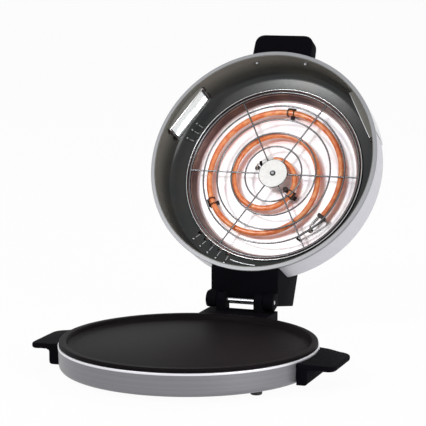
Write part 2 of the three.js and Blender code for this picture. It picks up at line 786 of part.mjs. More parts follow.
function hingeBlock() {
  const outline = blockOutline();
  const hollow = moved(outline, blockWall, true);
  const hood = cut(
    solid(prism(polygon(outline), [-blockHalf, blockHalf], yAxis, zAxis)),
    prism(polygon(hollow), [blockWall - blockHalf, blockHalf - blockWall], yAxis, zAxis),
  );
  const lug = new THREE.Shape();
  lug.moveTo(lugRadius, 0);
  lug.lineTo(lugRadius * lugWaistShare, undersideOffset + blockWall / 2);
  lug.lineTo(-lugRadius, undersideOffset + blockWall / 2);
  lug.lineTo(-lugRadius, 0);
  lug.absarc(0, 0, lugRadius, Math.PI, 2 * Math.PI);
  const lugs = [[-blockHalf, -lugInner], [lugInner, blockHalf]].map((span) =>
    prism(lug, span, yAxis, zAxis).rotateX(blockSlope).translate(0, hingeY, hingeZ),
  );
  const screwZ = lidRimZ + blockScrewDepth;
  const bosses = blockScrewAngles.map((degrees) =>
    radial(rod(bossRadius, lidWallRadius - overrun, hingeY + blockOverlap), degrees, screwZ),
  );
  const holes = blockScrewAngles.map((degrees) => screwHole(degrees, screwZ, lidRadius + screwGrip));
  const inside = prism(polygon(outline), [-blockHalf, blockHalf], yAxis, zAxis);
  const bossSolid = joined(...bosses).intersect(solid(inside));
  const made = lugs.reduce((whole, next) => whole.add(solid(next)), hood).add(bossSolid);
  return cut(made, lidEnvelope(), pinHole(), ...holes);
}

// Lid pieces

function shellFace() {
  const face = new THREE.Path();
  const domeRadius = panWallRadius;
  const domeRun = lidDomeRise / lidDomeSlope;
  face.moveTo(lidRadius - lidLipWidth, 0);
  face.lineTo(lidRadius, 0);
  face.lineTo(lidRadius, lidLipHeight);
  face.lineTo(lidWallRadius, lidLipHeight + lidLipStep);
  face.lineTo(lidUpperRadius, lidWallDepth);
  face.quadraticCurveTo(
    lidUpperRadius - lidShoulderRun,
    lidWallDepth + lidShoulderRise,
    domeRadius,
    shoulderDepth,
  );
  face.quadraticCurveTo(domeRadius - domeRun, lidDepth, 0, lidDepth);
  return pathPoints(face);
}

// Everything inside the shell's outer face, with a clearance round it.
function lidEnvelope() {
  const face = moved(shellFace().slice(1), -clearance);
  face[0] = [lidRadius + clearance, -overrun];
  return lidTurned([[0, -overrun], ...face]);
}

function lidShell() {
  const body = solid(lidTurned(sheet(shellFace(), lidSheet)));
  return cut(body, ...windowCuts(), ...lidScrewHoles(), ...leadHoles());
}

function linerFace() {
  const face = new THREE.Path();
  face.moveTo(linerRadius, linerStart);
  face.lineTo(linerUpperRadius, linerWallDepth);
  face.quadraticCurveTo(
    linerUpperRadius - linerTaper,
    linerWallDepth + linerCurveRise,
    linerShoulderRadius,
    linerShoulderDepth,
  );
  face.lineTo(linerEdgeRadius, linerEdgeDepth);
  return pathPoints(face);
}

function lidLiner() {
  const body = solid(lidTurned(sheet(linerFace(), -linerSheet)));
  const ventInner = linerEdgeRadius + bezelRadius + bezelSeat;
  const depth = [lidRimZ + linerEdgeDepth - overrun, lidRimZ + linerEdgeDepth + overrun];
  const vents = ventDegrees.map((degrees) => {
    const vent = box([ventInner, ventInner + ventLength], [-ventWidth / 2, ventWidth / 2], depth);
    return vent.rotateZ(degToRad(-degrees));
  });
  return cut(body, ...windowCuts(), ...lidScrewHoles(), ...vents);
}

function lidScrewHoles() {
  const handle = gripScrewAngles.map((degrees) => screwHole(degrees, lidRimZ + gripScrewDepth));
  const block = blockScrewAngles.map((degrees) => screwHole(degrees, lidRimZ + blockScrewDepth));
  return [...handle, ...block];
}

// A screw from inside the lid, through liner and shell, into the handle or the hinge block.
function lidScrew(degrees, depth) {
  const seat = linerUpperRadius * flatShare - clearance;
  const outline = screwOutline(seat, lidRadius + screwGrip - clearance);
  return solid(radial(turned(outline, smallSteps), degrees, lidRimZ + depth));
}

function reflectorPan() {
  const face = new THREE.Path();
  face.moveTo(linerEdgeRadius + panOverlap, panFlangeDepth);
  face.lineTo(panWallRadius, panFlangeDepth);
  face.lineTo(panFloorRadius, panFloorDepth - panLean);
  face.quadraticCurveTo(panFloorRadius, panFloorDepth, panFloorRadius - panLean, panFloorDepth);
  face.lineTo(0, panFloorDepth);
  const body = solid(lidTurned(sheet(pathPoints(face), -panSheet)));
  const holes = [innerLeadHole(), outerLeadHole()].map((place) =>
    rod(leadHoleRadius, panFloorDepth - overrun, panBackDepth + overrun).translate(place.x, place.y, lidRimZ),
  );
  return cut(body, ...holes);
}

function reflectorBezel() {
  const radius = linerEdgeRadius + bezelSeat;
  const depth = linerEdgeDepth - clearance - bezelRadius - bezelSeat / 2;
  return solid(ring(radius, bezelRadius, roundSteps, wireSides).translate(0, 0, lidRimZ + depth));
}

function guardGrille() {
  const height = lidRimZ + guardDepth;
  const wires = [ring(hubRadius, guardWire, smallSteps, guardSides)];
  for (let k = guardFirstRing; k <= guardRings; k += 1) {
    wires.push(ring(k * ringPitch, guardWire, guardRingSteps * (k + 1), guardSides));
  }
  for (let k = 0; k < guardSpokes; k += 1) {
    const spoke = rod(spokeWire, hubRadius, guardRadius + spokeOverhang, guardSides);
    wires.push(radial(spoke, (k * 360) / guardSpokes, 0));
  }
  return joined(...wires.map((wire) => wire.translate(0, 0, height)));
}

function guardDisc() {
  const edge = discThickness / 2;
  const outline = [
    [screwHoleRadius, discBackDepth],
    [discRadius, discBackDepth],
    [discRadius, discFrontDepth + edge],
    [discRadius - edge, discFrontDepth],
    [screwHoleRadius, discFrontDepth],
  ];
  return solid(lidTurned(outline, 3 * smallSteps));
}

function guardPost() {
  const bore = guardPostBack - screwRadius;
  const post = solid(rod(postRadius, guardPostFront, guardPostBack).translate(0, 0, lidRimZ));
  return cut(post, rod(screwHoleRadius, guardPostFront - overrun, bore).translate(0, 0, lidRimZ));
}

function guardScrew() {
  const tip = guardPostBack - 2 * screwRadius;
  return solid(lidTurned(screwOutline(discFrontDepth - clearance, tip), smallSteps));
}

// The upper element's centre line: three loops, each widening smoothly into the next.
class ElementSpiral extends THREE.Curve {
  radiusAt(turned) {
    const first = THREE.MathUtils.smoothstep(turned, ...firstRiseDegrees);
    const second = THREE.MathUtils.smoothstep(turned, ...secondRiseDegrees);
    const rises = (middleLoopShare - firstLoopShare) * first + (1 - middleLoopShare) * second;
    return outerLoopRadius * (firstLoopShare + rises);
  }

  getPoint(share, target = new THREE.Vector3()) {
    const turned = share * tubeTurnDegrees;
    return target.copy(lidPoint(tubeStartDegrees - turned, this.radiusAt(turned), tubeDepth));
  }

  // Steps of equal turn, so that the inner loop is as round as the outer one.
  getUtoTmapping(share) {
    return share;
  }
}

const spiral = new ElementSpiral();
const spiralSteps = Math.round((loopSteps * tubeTurnDegrees) / 360);

// The least gap between the spiral's own turns, measured on points a quarter turn or more apart.
function spiralGap() {
  const points = spiral.getPoints(spiralSteps);
  const apart = Math.round(loopSteps / 4);
  let least = Infinity;
  points.forEach((point, i) => {
    points.slice(i + apart).forEach((other) => {
      least = Math.min(least, point.distanceTo(other) - 2 * tubeRadius);
    });
  });
  return least;
}

// The frame of the spiral at a turn: across it, into the lid, and along it.
function spiralFrame(turnDegrees) {
  const share = turnDegrees / tubeTurnDegrees;
  const along = spiral.getTangent(share);
  const across = new THREE.Vector3().crossVectors(zAxis, along).normalize();
  const level = across.clone().cross(zAxis);
  return new THREE.Matrix4().makeBasis(across, zAxis, level).setPosition(spiral.getPoint(share));
}

// A clip that holds the tube off the pan: a strap round it on a stem with a flat foot.
function elementClip(turnDegrees) {
  const bore = tubeRadius + tubeBow + clearance;
  const outer = bore + clipThickness;
  const strap = new THREE.Shape();
  strap.absarc(0, 0, outer, 0, 2 * Math.PI);
  const hole = new THREE.Path();
  hole.absarc(0, 0, bore, 0, 2 * Math.PI);
  strap.holes.push(hole);
  const span = [-clipWidth / 2, clipWidth / 2];
  const footTop = panFloorDepth - tubeDepth - clearance;
  const half = clipStem / 2;
  const parts = [
    prism(strap, span, xAxis, yAxis),
    box([-half, half], [bore + clipThickness / 2, footTop], span),
    box([-clipFootHalf, clipFootHalf], [footTop - clipThickness, footTop], span),
  ];
  return joined(...parts.map((part) => part.applyMatrix4(spiralFrame(turnDegrees))));
}

function supportBolt() {
  const back = panFloorDepth - clearance;
  const front = panFloorDepth - boltRise;
  const outline = [
    [0, front],
    [boltHeadRadius, front],
    [boltHeadRadius, front + boltHeadHeight],
    [boltRadius, front + boltHeadHeight],
    [boltRadius, back],
    [0, back],
  ];
  const beside = spiral.radiusAt(tubeStartDegrees - boltDegrees);
  const place = lidPoint(boltDegrees, beside - tubeRadius - boltGap - boltHeadRadius, 0);
  return solid(turned(outline, smallSteps).translate(place.x, place.y, place.z));
}

// The inner cold end: a line that carries on from the start of the spiral.
const coldStart = spiral.getPoint(0);
const coldRun = spiral.getTangent(0).negate().applyAxisAngle(zAxis, degToRad(sleeveLeanDegrees));
const coldPoint = (distance) => coldStart.clone().addScaledVector(coldRun, distance);

// A piece made along Z laid from a point along a direction.
function laid(geometry, start, direction) {
  const turn = new THREE.Quaternion().setFromUnitVectors(zAxis, direction);
  return geometry.applyQuaternion(turn).translate(start.x, start.y, start.z);
}

function ceramicSleeve() {
  return solid(laid(rod(sleeveRadius, sleeveGap, sleeveGap + sleeveLength), coldStart, coldRun));
}

const capStart = sleeveGap + sleeveLength + clearance;

function sleeveCap() {
  return solid(laid(rod(capRadius, capStart, capStart + capLength), coldStart, coldRun));
}

const innerLeadHole = () => coldPoint(capStart + innerLeadReach);

// The outer end: a clamp just past the end of the spiral.
const clampFrame = (forward) => {
  const start = lidPoint(clampDegrees, outerLoopRadius, tubeDepth);
  const along = spiral.getTangent(1);
  const out = new THREE.Vector3(start.x, start.y, 0).normalize();
  return (outwards) => start.clone().addScaledVector(out, outwards).addScaledVector(along, forward);
};

function terminalClamp() {
  const half = clampRadial / 2;
  const depth = [-clampDepth / 2, clampDepth / 2];
  const body = box([-half, half], depth, [clearance, clearance + clampLength]);
  return solid(body.applyMatrix4(spiralFrame(tubeTurnDegrees)));
}

const clampEnd = clampFrame(clearance + clampLength + clearance);
const beadStart = clampEnd(beadRadius - clampRadial / 2);
const beadRun = spiral.getTangent(1);
const outerLeadHole = () => beadStart.clone().addScaledVector(beadRun, beadLength + outerLeadReach);

function terminalBeads() {
  const outline = [];
  for (let i = 0; i < beadCount; i += 1) {
    const start = (i * beadLength) / beadCount;
    const end = ((i + 1) * beadLength) / beadCount;
    outline.push([beadNeck, start], [beadRadius, (2 * start + end) / 3], [beadRadius, (start + 2 * end) / 3]);
  }
  const closed = [[0, 0], ...outline, [beadNeck, beadLength], [0, beadLength]];
  return solid(laid(turned(closed, smallSteps), beadStart, beadRun));
}

// The stay from the clamp along the spiral's run and down to the pan's floor.
function terminalStay() {
  const start = clampEnd(clampRadial / 2 - stayRadius);
  const back = panFloorDepth - tubeDepth - clearance - stayRadius;
  const bend = lidPoint(clampDegrees - stayTurnDegrees / 2, outerLoopRadius + stayInset, tubeDepth);
  const knee = lidPoint(clampDegrees - stayTurnDegrees, outerLoopRadius + stayInset, tubeDepth + back / 3);
  const toe = lidPoint(clampDegrees - stayTurnDegrees, outerLoopRadius + 2 * stayInset, tubeDepth + back);
  const curve = new THREE.CatmullRomCurve3([start, bend, knee, toe]);
  return solid(tube(curve, stayRadius, smallSteps, wireSides));
}

// A lead from a terminal, through the pan and behind it, to the hinge block.
function lidLead(start, hole, side) {
  const x = side * leadSpread;
  const behind = lidRimZ + leadDepth;
  const exit = lidRimZ + leadExitDepth;
  const points = [
    start,
    start.clone().lerp(new THREE.Vector3(hole.x, hole.y, start.z), 0.5),
    new THREE.Vector3(hole.x, hole.y, lidRimZ + panFloorDepth - leadRadius),
    new THREE.Vector3(hole.x, hole.y, lidRimZ + panBackDepth),
    new THREE.Vector3(hole.x, hole.y + leadBend, behind),
    new THREE.Vector3(x, panFloorRadius / 2, behind),
    new THREE.Vector3(x, panFloorRadius, behind),
    new THREE.Vector3(x, panWallRadius + leadHoleRadius, lidRimZ + panFloorDepth - leadRadius),
    new THREE.Vector3(x, linerRadius - overrun, exit),
    new THREE.Vector3(x, linerRadius + overrun, exit),
  ];
  const curve = new THREE.CatmullRomCurve3(points, false, "centripetal");
  return solid(tube(curve, leadRadius, leadSteps, wireSides));
}

function leadHoles() {
  return [-leadSpread, leadSpread].map((x) =>
    rod(leadHoleRadius, 0, beyond).rotateX(-Math.PI / 2).translate(x, 0, lidRimZ + leadExitDepth),
  );
}

// Windows

const windowSpan = (margin) => [margin - windowHalf, windowHalf - margin];
const windowDepth = (margin) => [lidRimZ + windowStart + margin, lidRimZ + windowEnd - margin];
const atWindow = (geometry, degrees) => geometry.rotateZ(degToRad(-degrees));

function windowCuts() {
  const reach = [windowFaceRadius - overrun, beyond];
  return Object.values(windowDegrees).map((degrees) =>
    atWindow(box(reach, windowSpan(-clearance), windowDepth(-clearance)), degrees),
  );
}

function windowFrameSolid(degrees) {
  const reach = [windowFaceRadius, lidRadius + overrun];
  const body = cut(
    solid(box(reach, windowSpan(0), windowDepth(0))),
    box([windowFaceRadius - overrun, beyond], windowSpan(windowFrame), windowDepth(windowFrame)),
  );
  const ledgeReach = [glassOuter + clearance, glassOuter + clearance + windowLedge];
  const opening = windowFrame + windowLedge;
  const ledge = cut(
    solid(box(ledgeReach, windowSpan(windowFrame / 2), windowDepth(windowFrame / 2))),
    box([windowFaceRadius, lidRadius], windowSpan(opening), windowDepth(opening)),
  );
  const [lowT, highT] = windowSpan(windowFrame / 2);
  const [lowZ, highZ] = windowDepth(windowFrame / 2);
  const tabReach = [windowFaceRadius, windowFaceRadius + windowTab];
  const tabHeight = windowFrame / 2 + windowLedge;
  const tabs = [[lowT, lowT + windowTabLength], [highT - windowTabLength, highT]].flatMap((across) =>
    [[lowZ, lowZ + tabHeight], [highZ - tabHeight, highZ]].map((depth) => box(tabReach, across, depth)),
  );
  const outer = rod(lidWallRadius + windowProud, 0, beyond, roundSteps);
  const frame = tabs.reduce((whole, tab) => whole.add(solid(tab)), body.add(ledge));
  return frame.rotate([0, 0, -degrees]).intersect(solid(outer));
}

function windowGlass(degrees) {
  const margin = windowFrame + clearance;
  return solid(atWindow(box([glassInner, glassOuter], windowSpan(margin), windowDepth(margin)), degrees));
}

// Lid handle

function lidHandle() {
  const tipY = -(lidRadius + gripReach);
  const rootY = -(lidRadius - gripReach);
  const grip = new THREE.Shape();
  grip.moveTo(-gripHalf - gripFlare, rootY);
  grip.lineTo(-gripHalf, tipY + gripCorner);
  grip.quadraticCurveTo(-gripHalf, tipY, gripCorner - gripHalf, tipY);
  grip.lineTo(gripHalf - gripCorner, tipY);
  grip.quadraticCurveTo(gripHalf, tipY, gripHalf, tipY + gripCorner);
  grip.lineTo(gripHalf + gripFlare, rootY);
  const [low, high] = [lidRimZ + gripStart, lidRimZ + gripStart + gripHeight];
  const plateOuter = lidWallRadius + clearance + gripPlateThickness;
  const plate = solid(rod(plateOuter, low - gripPlateMargin, high + gripPlateMargin, roundSteps)).intersect(
    solid(box([-gripPlateHalf, gripPlateHalf], [-beyond, -overrun], [0, beyond])),
  );
  const body = solid(prism(grip, [low, high], xAxis, yAxis, gripEdge)).add(plate);
  const holes = gripScrewAngles.map((degrees) =>
    screwHole(degrees, lidRimZ + gripScrewDepth, lidRadius + screwGrip + screwRadius),
  );
  return cut(body, rod(lidWallRadius + clearance, 0, beyond, roundSteps), ...holes);
}

// Finishes from the photograph
const finishes = {
  brushedSteel: { color: 0xc9cbcf, roughness: 0.38, metalness: 0.85 },
  satinBand: { color: 0x9c9ea3, roughness: 0.42, metalness: 0.8 },
  nonStick: { color: 0x1b1a1d, roughness: 0.5, metalness: 0.1 },
  phenolic: { color: 0x17161a, roughness: 0.55, metalness: 0 },
  greyEnamel: { color: 0x4c504f, roughness: 0.4, metalness: 0.35 },
  reflector: { color: 0xe6e2e4, roughness: 0.3, metalness: 0.7 },
  wire: { color: 0x85878b, roughness: 0.3, metalness: 0.95 },
  hotElement: { color: 0xe8703a, roughness: 0.6, metalness: 0.1 },
  darkElement: { color: 0x3d3a38, roughness: 0.6, metalness: 0.5 },
  ceramic: { color: 0xefece6, roughness: 0.5, metalness: 0 },
  rubber: { color: 0x1d1d1f, roughness: 0.9, metalness: 0 },
  zinc: { color: 0xa7a9ad, roughness: 0.35, metalness: 0.9 },
  plainSteel: { color: 0x8d9094, roughness: 0.45, metalness: 0.85 },
  glass: { color: 0xe4eaea, roughness: 0.05, metalness: 0, transparent: true, opacity: 0.4 },
};

function piece(group, name, made, finish) {
  const { vertProperties, triVerts } = made.getMesh();
  const geometry = new THREE.BufferGeometry();
  geometry.setAttribute("position", new THREE.BufferAttribute(Float32Array.from(vertProperties), 3));
  geometry.setIndex(new THREE.BufferAttribute(Uint32Array.from(triVerts), 1));
  geometry.computeVertexNormals();
  const mesh = new THREE.Mesh(geometry, new THREE.MeshStandardMaterial(finishes[finish]));
  mesh.name = name;
  group.add(mesh);
}

// The origin is the centre of the cooking face, so the table is below it.
const pizzaMaker = new THREE.Group();
const base = new THREE.Group();
base.position.z = -cookingZ;
pizzaMaker.add(base);

// The lid is modelled closed, and its group turns it open about the hinge line.
const openLid = new THREE.Group();
openLid.position.set(0, hingeY, hingeZ);
openLid.rotation.x = -degToRad(openDegrees);
base.add(openLid);
const lid = new THREE.Group();
lid.position.set(0, -hingeY, -hingeZ);
openLid.add(lid);

const sides = { left: -1, right: 1 };

piece(base, "baking_plate", bakingPlate(), "nonStick");
piece(base, "base_band", baseBand(), "satinBand");
piece(base, "base_floor", baseFloor(), "plainSteel");
frontFeet.forEach((place, i) => {
  piece(base, `front_${Object.keys(sides)[i]}_foot`, foot(place, floorZ - clearance), "rubber");
});
rearFeet.forEach((place, i) => {
  piece(base, `rear_${Object.keys(sides)[i]}_foot`, foot(place, bandBottomZ - clearance), "rubber");
});
piece(base, "lower_reflector_tray", lowerTray(), "reflector");
piece(base, "lower_heating_element", lowerElement(), "darkElement");
piece(base, "plate_thermostat", thermostat(), "zinc");
piece(base, "thermal_fuse", thermalFuse(), "ceramic");
piece(base, "terminal_block", terminalBlock(), "ceramic");
piece(base, "cord_gland", cordGland(), "phenolic");
piece(base, "centre_spacer", centreSpacer(), "zinc");
bossDegrees.forEach((degrees, i) => {
  const screw = atBoss(plateScrew(plateUnderZ), degrees);
  piece(base, `plate_screw_${i + 1}`, solid(screw), "zinc");
});
piece(base, "centre_plate_screw", solid(plateScrew(plateUnderZ)), "zinc");
Object.entries(sides).forEach(([side, sign]) => {
  const middle = sign > 0 ? 0 : 180;
  const handleScrew = (degrees) => bandScrew(middle + sign * degrees, handleScrewGrip);
  piece(base, `${side}_side_handle`, sideHandle(sign), "phenolic");
  piece(base, `${side}_handle_front_screw`, handleScrew(-handleScrewDegrees), "zinc");
  piece(base, `${side}_handle_rear_screw`, handleScrew(handleScrewDegrees), "zinc");
  piece(base, `${side}_bracket_screw`, bandScrew(90 - sign * bracketScrewDegrees, screwGrip), "zinc");
  piece(base, `${side}_lower_lead`, lowerLead(sign), "ceramic");
});
piece(base, "hinge_bracket", hingeBracket(), "phenolic");
piece(base, "hinge_pin", hingePin(), "zinc");

piece(lid, "lid_shell", lidShell(), "brushedSteel");
piece(lid, "lid_liner", lidLiner(), "greyEnamel");
piece(lid, "reflector_pan", reflectorPan(), "reflector");
piece(lid, "reflector_bezel", reflectorBezel(), "zinc");
piece(lid, "guard_grille", guardGrille(), "wire");
piece(lid, "guard_centre_disc", guardDisc(), "ceramic");
piece(lid, "guard_post", guardPost(), "ceramic");
piece(lid, "guard_screw", guardScrew(), "zinc");
piece(lid, "upper_heating_element", solid(tube(spiral, tubeRadius, spiralSteps)), "hotElement");
clipTurnDegrees.forEach((turn, i) => {
  piece(lid, `element_clip_${i + 1}`, elementClip(turn), "plainSteel");
});
piece(lid, "element_support_bolt", supportBolt(), "plainSteel");
piece(lid, "cold_end_sleeve", ceramicSleeve(), "ceramic");
piece(lid, "cold_end_cap", sleeveCap(), "phenolic");
piece(lid, "terminal_clamp", terminalClamp(), "plainSteel");
piece(lid, "terminal_beads", terminalBeads(), "ceramic");
piece(lid, "terminal_stay", terminalStay(), "wire");
const capEnd = coldPoint(capStart + capLength + clearance);
piece(lid, "live_lid_lead", lidLead(capEnd, innerLeadHole(), -1), "ceramic");
const beadEnd = beadStart.clone().addScaledVector(beadRun, beadLength + clearance);
piece(lid, "neutral_lid_lead", lidLead(beadEnd, outerLeadHole(), 1), "ceramic");
Object.entries(windowDegrees).forEach(([side, degrees]) => {
  piece(lid, `${side}_window_frame`, windowFrameSolid(degrees), "plainSteel");
  piece(lid, `${side}_window_glass`, windowGlass(degrees), "glass");
});
piece(lid, "lid_handle", lidHandle(), "phenolic");
Object.entries(sides).forEach(([side, sign]) => {
  piece(lid, `${side}_lid_handle_screw`, lidScrew(-90 + sign * gripScrewDegrees, gripScrewDepth), "zinc");
  piece(lid, `${side}_block_screw`, lidScrew(90 - sign * blockScrewDegrees, blockScrewDepth), "zinc");
});
piece(lid, "hinge_block", hingeBlock(), "phenolic");

console.log(`Upper element: least gap to itself ${spiralGap().toFixed(1)} mm`);

export default pizzaMaker;
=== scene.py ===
from math import cos, pi, radians, sin

import bmesh
import bpy
from mathutils import Matrix, Vector
from mathutils.geometry import interpolate_bezier


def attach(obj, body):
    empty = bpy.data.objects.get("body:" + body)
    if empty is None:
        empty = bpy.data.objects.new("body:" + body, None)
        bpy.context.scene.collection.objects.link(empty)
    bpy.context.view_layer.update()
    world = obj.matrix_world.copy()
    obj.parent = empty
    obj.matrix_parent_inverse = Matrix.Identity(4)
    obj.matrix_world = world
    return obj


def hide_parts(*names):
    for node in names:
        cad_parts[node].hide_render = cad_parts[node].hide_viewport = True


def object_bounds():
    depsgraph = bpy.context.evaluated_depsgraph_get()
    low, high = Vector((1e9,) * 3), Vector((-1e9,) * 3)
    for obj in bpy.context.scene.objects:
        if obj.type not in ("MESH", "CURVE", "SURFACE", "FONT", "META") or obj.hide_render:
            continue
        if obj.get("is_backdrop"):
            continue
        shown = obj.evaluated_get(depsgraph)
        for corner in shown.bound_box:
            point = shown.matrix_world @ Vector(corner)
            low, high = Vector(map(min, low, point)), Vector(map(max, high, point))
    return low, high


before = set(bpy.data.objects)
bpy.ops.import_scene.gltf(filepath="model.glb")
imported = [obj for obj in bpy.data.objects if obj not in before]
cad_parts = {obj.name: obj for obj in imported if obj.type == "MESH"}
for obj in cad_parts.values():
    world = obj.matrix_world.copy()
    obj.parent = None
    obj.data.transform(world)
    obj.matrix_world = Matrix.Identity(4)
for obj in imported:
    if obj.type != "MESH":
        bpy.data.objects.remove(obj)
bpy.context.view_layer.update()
scene = bpy.context.scene

# Pieces are drawn in millimetres, in the base's frame or in the closed lid's.
# The closed lid's Z is the depth from its rim, and its angles run from +X towards the front.
opened = {"hingeY": 198.0, "hingeZ": 17.0, "degrees": 118.0, "lidRim": 6.5}
millimetre = 0.001
places = {"base": Matrix.Scale(millimetre, 4)}
places["lid"] = (
    places["base"]
    @ Matrix.Translation((0, opened["hingeY"], opened["hingeZ"]))
    @ Matrix.Rotation(radians(-opened["degrees"]), 4, "X")
    @ Matrix.Translation((0, -opened["hingeY"], opened["lidRim"] - opened["hingeZ"]))
)
sideways = Matrix(((0, 0, 1), (1, 0, 0), (0, 1, 0))).to_4x4()  # an outline in Y and Z, thick along X
lengthways = Matrix(((1, 0, 0), (0, 0, -1), (0, 1, 0))).to_4x4()  # an outline in X and Z, thick along Y
mesh = {"turns": 144, "fineTurns": 192, "curve": 12, "weld": 0.002}
print("frame loaded")

# Camera: at the photograph's angle, aimed between the base and the lid
shot = {
    "azimuth": 20.0, "elevation": 8.75, "distance": 2.3, "target": (0.032, 0.0, 0.165), "lens": 159.9,
    "sensor": 36.0,
}
cameraData = bpy.data.cameras.new("camera")
cameraData.lens = shot["lens"]
cameraData.sensor_width = shot["sensor"]
camera = bpy.data.objects.new("camera", cameraData)
scene.collection.objects.link(camera)
azimuth = radians(shot["azimuth"])
elevation = radians(shot["elevation"])
back = Vector((sin(azimuth) * cos(elevation), -cos(azimuth) * cos(elevation), sin(elevation)))
camera.location = Vector(shot["target"]) + shot["distance"] * back
camera.rotation_euler = back.to_track_quat("Z", "Y").to_euler()
scene.camera = camera
print("camera placed")


# Shapes


def trace(*stops):
    # Each stop is a point (radius, height), or a control point and an end point of a curve.
    points = []
    for stop in stops:
        if isinstance(stop[0], tuple):
            control, end = (Vector((x, 0, z)) for x, z in stop)
            start = points[-1]
            pulls = [spot.lerp(control, 2 / 3) for spot in (start, end)]
            points += interpolate_bezier(start, *pulls, end, mesh["curve"])[1:]
        else:
            points.append(Vector((stop[0], 0, stop[1])))
    return points


def turnRound(bm, parts, steps):
    bmesh.ops.spin(
        bm,
        geom=parts, cent=(0, 0, 0), axis=(0, 0, 1), dvec=(0, 0, 0), angle=radians(360.0), steps=steps,
        use_merge=True, use_normal_flip=False, use_duplicate=False,
    )


def lathe(points, steps=mesh["turns"]):
    bm = bmesh.new()
    verts = [bm.verts.new(point) for point in points]
    edges = [bm.edges.new(pair) for pair in zip(verts, verts[1:])]
    if points[0].x > 0:
        edges.append(bm.edges.new((verts[-1], verts[0])))
    turnRound(bm, verts + edges, steps)
    return tidied(bm)


def tidied(bm):
    bmesh.ops.remove_doubles(bm, verts=bm.verts, dist=mesh["weld"])
    bmesh.ops.recalc_face_normals(bm, faces=bm.faces)
    return bm


def soften(bm, width, segments=2, above=30.0):
    sharp = [edge for edge in bm.edges if edge.is_manifold and edge.calc_face_angle() > radians(above)]
    bmesh.ops.bevel(
        bm,
        geom=sharp, offset=width, offset_type="OFFSET", segments=segments, profile=0.5,
        affect="EDGES", clamp_overlap=True, material=-1,
    )
    return bm


def moved(bm, matrix):
    bmesh.ops.transform(bm, matrix=matrix, verts=bm.verts)
    return bm


def slab(outline, low, high):
    bm = bmesh.new()
    face = bm.faces.new([bm.verts.new((x, y, low)) for x, y in outline])
    grown = bmesh.ops.extrude_face_region(bm, geom=[face])["geom"]
    lifted = [part for part in grown if isinstance(part, bmesh.types.BMVert)]
    bmesh.ops.translate(bm, vec=(0, 0, high - low), verts=lifted)
    return tidied(bm)


def block(x, y, z):
    bm = bmesh.new()
    bmesh.ops.create_cube(bm, size=1.0)
    middle = [(low + high) / 2 for low, high in (x, y, z)]
    size = [high - low for low, high in (x, y, z)]
    return moved(bm, Matrix.Translation(middle) @ Matrix.Diagonal((*size, 1)))


def rod(radius, low, high, steps=32):
    return lathe(trace((0, low), (radius, low), (radius, high), (0, high)), steps)


def roundCutter(radius, low=-60.0, high=100.0):
    # A cylinder that fits a piece to the round wall of the band or the lid.
    return rod(radius, low, high, mesh["fineTurns"])


def arc(middle, radius, first, last, step):
    turns = [radians(degrees) for degrees in range(first, last + 1, step)]
    return [(middle[0] + radius * cos(turn), middle[1] + radius * sin(turn)) for turn in turns]


def loop(radius, wire, height, steps=mesh["turns"], sides=12):
    bm = bmesh.new()
    upright = Matrix.Translation((radius, 0, height)) @ Matrix.Rotation(pi / 2, 4, "X")
    bmesh.ops.create_circle(bm, segments=sides, radius=wire, matrix=upright)
    turnRound(bm, bm.verts[:] + bm.edges[:], steps)
    return tidied(bm)


def looseObject(bm):
    data = bpy.data.meshes.new("loose")
    bm.to_mesh(data)
    bm.free()
    made = bpy.data.objects.new("loose", data)
    scene.collection.objects.link(made)
    return made


def together(*shapes):
    whole = shapes[0]
    for shape in shapes[1:]:
        data = bpy.data.meshes.new("loose")
        shape.to_mesh(data)
        shape.free()
        whole.from_mesh(data)
        bpy.data.meshes.remove(data)
    return whole


def carve(bm, *tools, operation="DIFFERENCE"):
    worked = looseObject(bm)
    cutters = [looseObject(tool) for tool in tools]
    for cutter in cutters:
        modifier = worked.modifiers.new("carve", "BOOLEAN")
        modifier.operation = operation
        modifier.solver = "EXACT"
        modifier.object = cutter
    result = bmesh.new()
    result.from_object(worked, bpy.context.evaluated_depsgraph_get())
    for used in (worked, *cutters):
        data = used.data
        bpy.data.objects.remove(used)
        bpy.data.meshes.remove(data)
    return result


def tube(points, radius, roundness=3):
    curve = bpy.data.curves.new("run", "CURVE")
    curve.dimensions = "3D"
    curve.bevel_depth = radius
    curve.bevel_resolution = roundness
    curve.use_fill_caps = True
    spline = curve.splines.new("POLY")
    spline.points.add(len(points) - 1)
    for point, spot in zip(spline.points, points):
        point.co = (*spot, 1)
    run = bpy.data.objects.new("run", curve)
    scene.collection.objects.link(run)
    data = bpy.data.meshes.new_from_object(run.evaluated_get(bpy.context.evaluated_depsgraph_get()))
    bm = bmesh.new()
    bm.from_mesh(data)
    bpy.data.objects.remove(run)
    bpy.data.curves.remove(curve)
    bpy.data.meshes.remove(data)
    return tidied(bm)


def smoothRun(points, steps):
    # A smooth line through the points, as a Catmull-Rom curve.
    ends = [2 * points[0] - points[1], *points, 2 * points[-1] - points[-2]]
    run = []
    for before, start, end, after in zip(ends, ends[1:], ends[2:], ends[3:]):
        pulls = (start + (end - before) / 6, end - (after - start) / 6)
        run += interpolate_bezier(start, *pulls, end, steps)[:-1]
    return [*run, points[-1]]


def lidPoint(degrees, radius, depth):
    turn = radians(degrees)
    return Vector((radius * cos(turn), -radius * sin(turn), depth))


def atAngle(degrees):
    # Turns a piece made along +X to an angle in the lid.
    return Matrix.Rotation(radians(-degrees), 4, "Z")


def radially(degrees, height):
    # Lays a piece made along Z along a radius, at an angle from +X.
    return (
        Matrix.Translation((0, 0, height))
        @ Matrix.Rotation(radians(degrees), 4, "Z")
        @ Matrix.Rotation(pi / 2, 4, "Y")
    )


def along(start, direction):
    return Matrix.Translation(start) @ direction.to_track_quat("Z", "Y").to_matrix().to_4x4()


# Materials


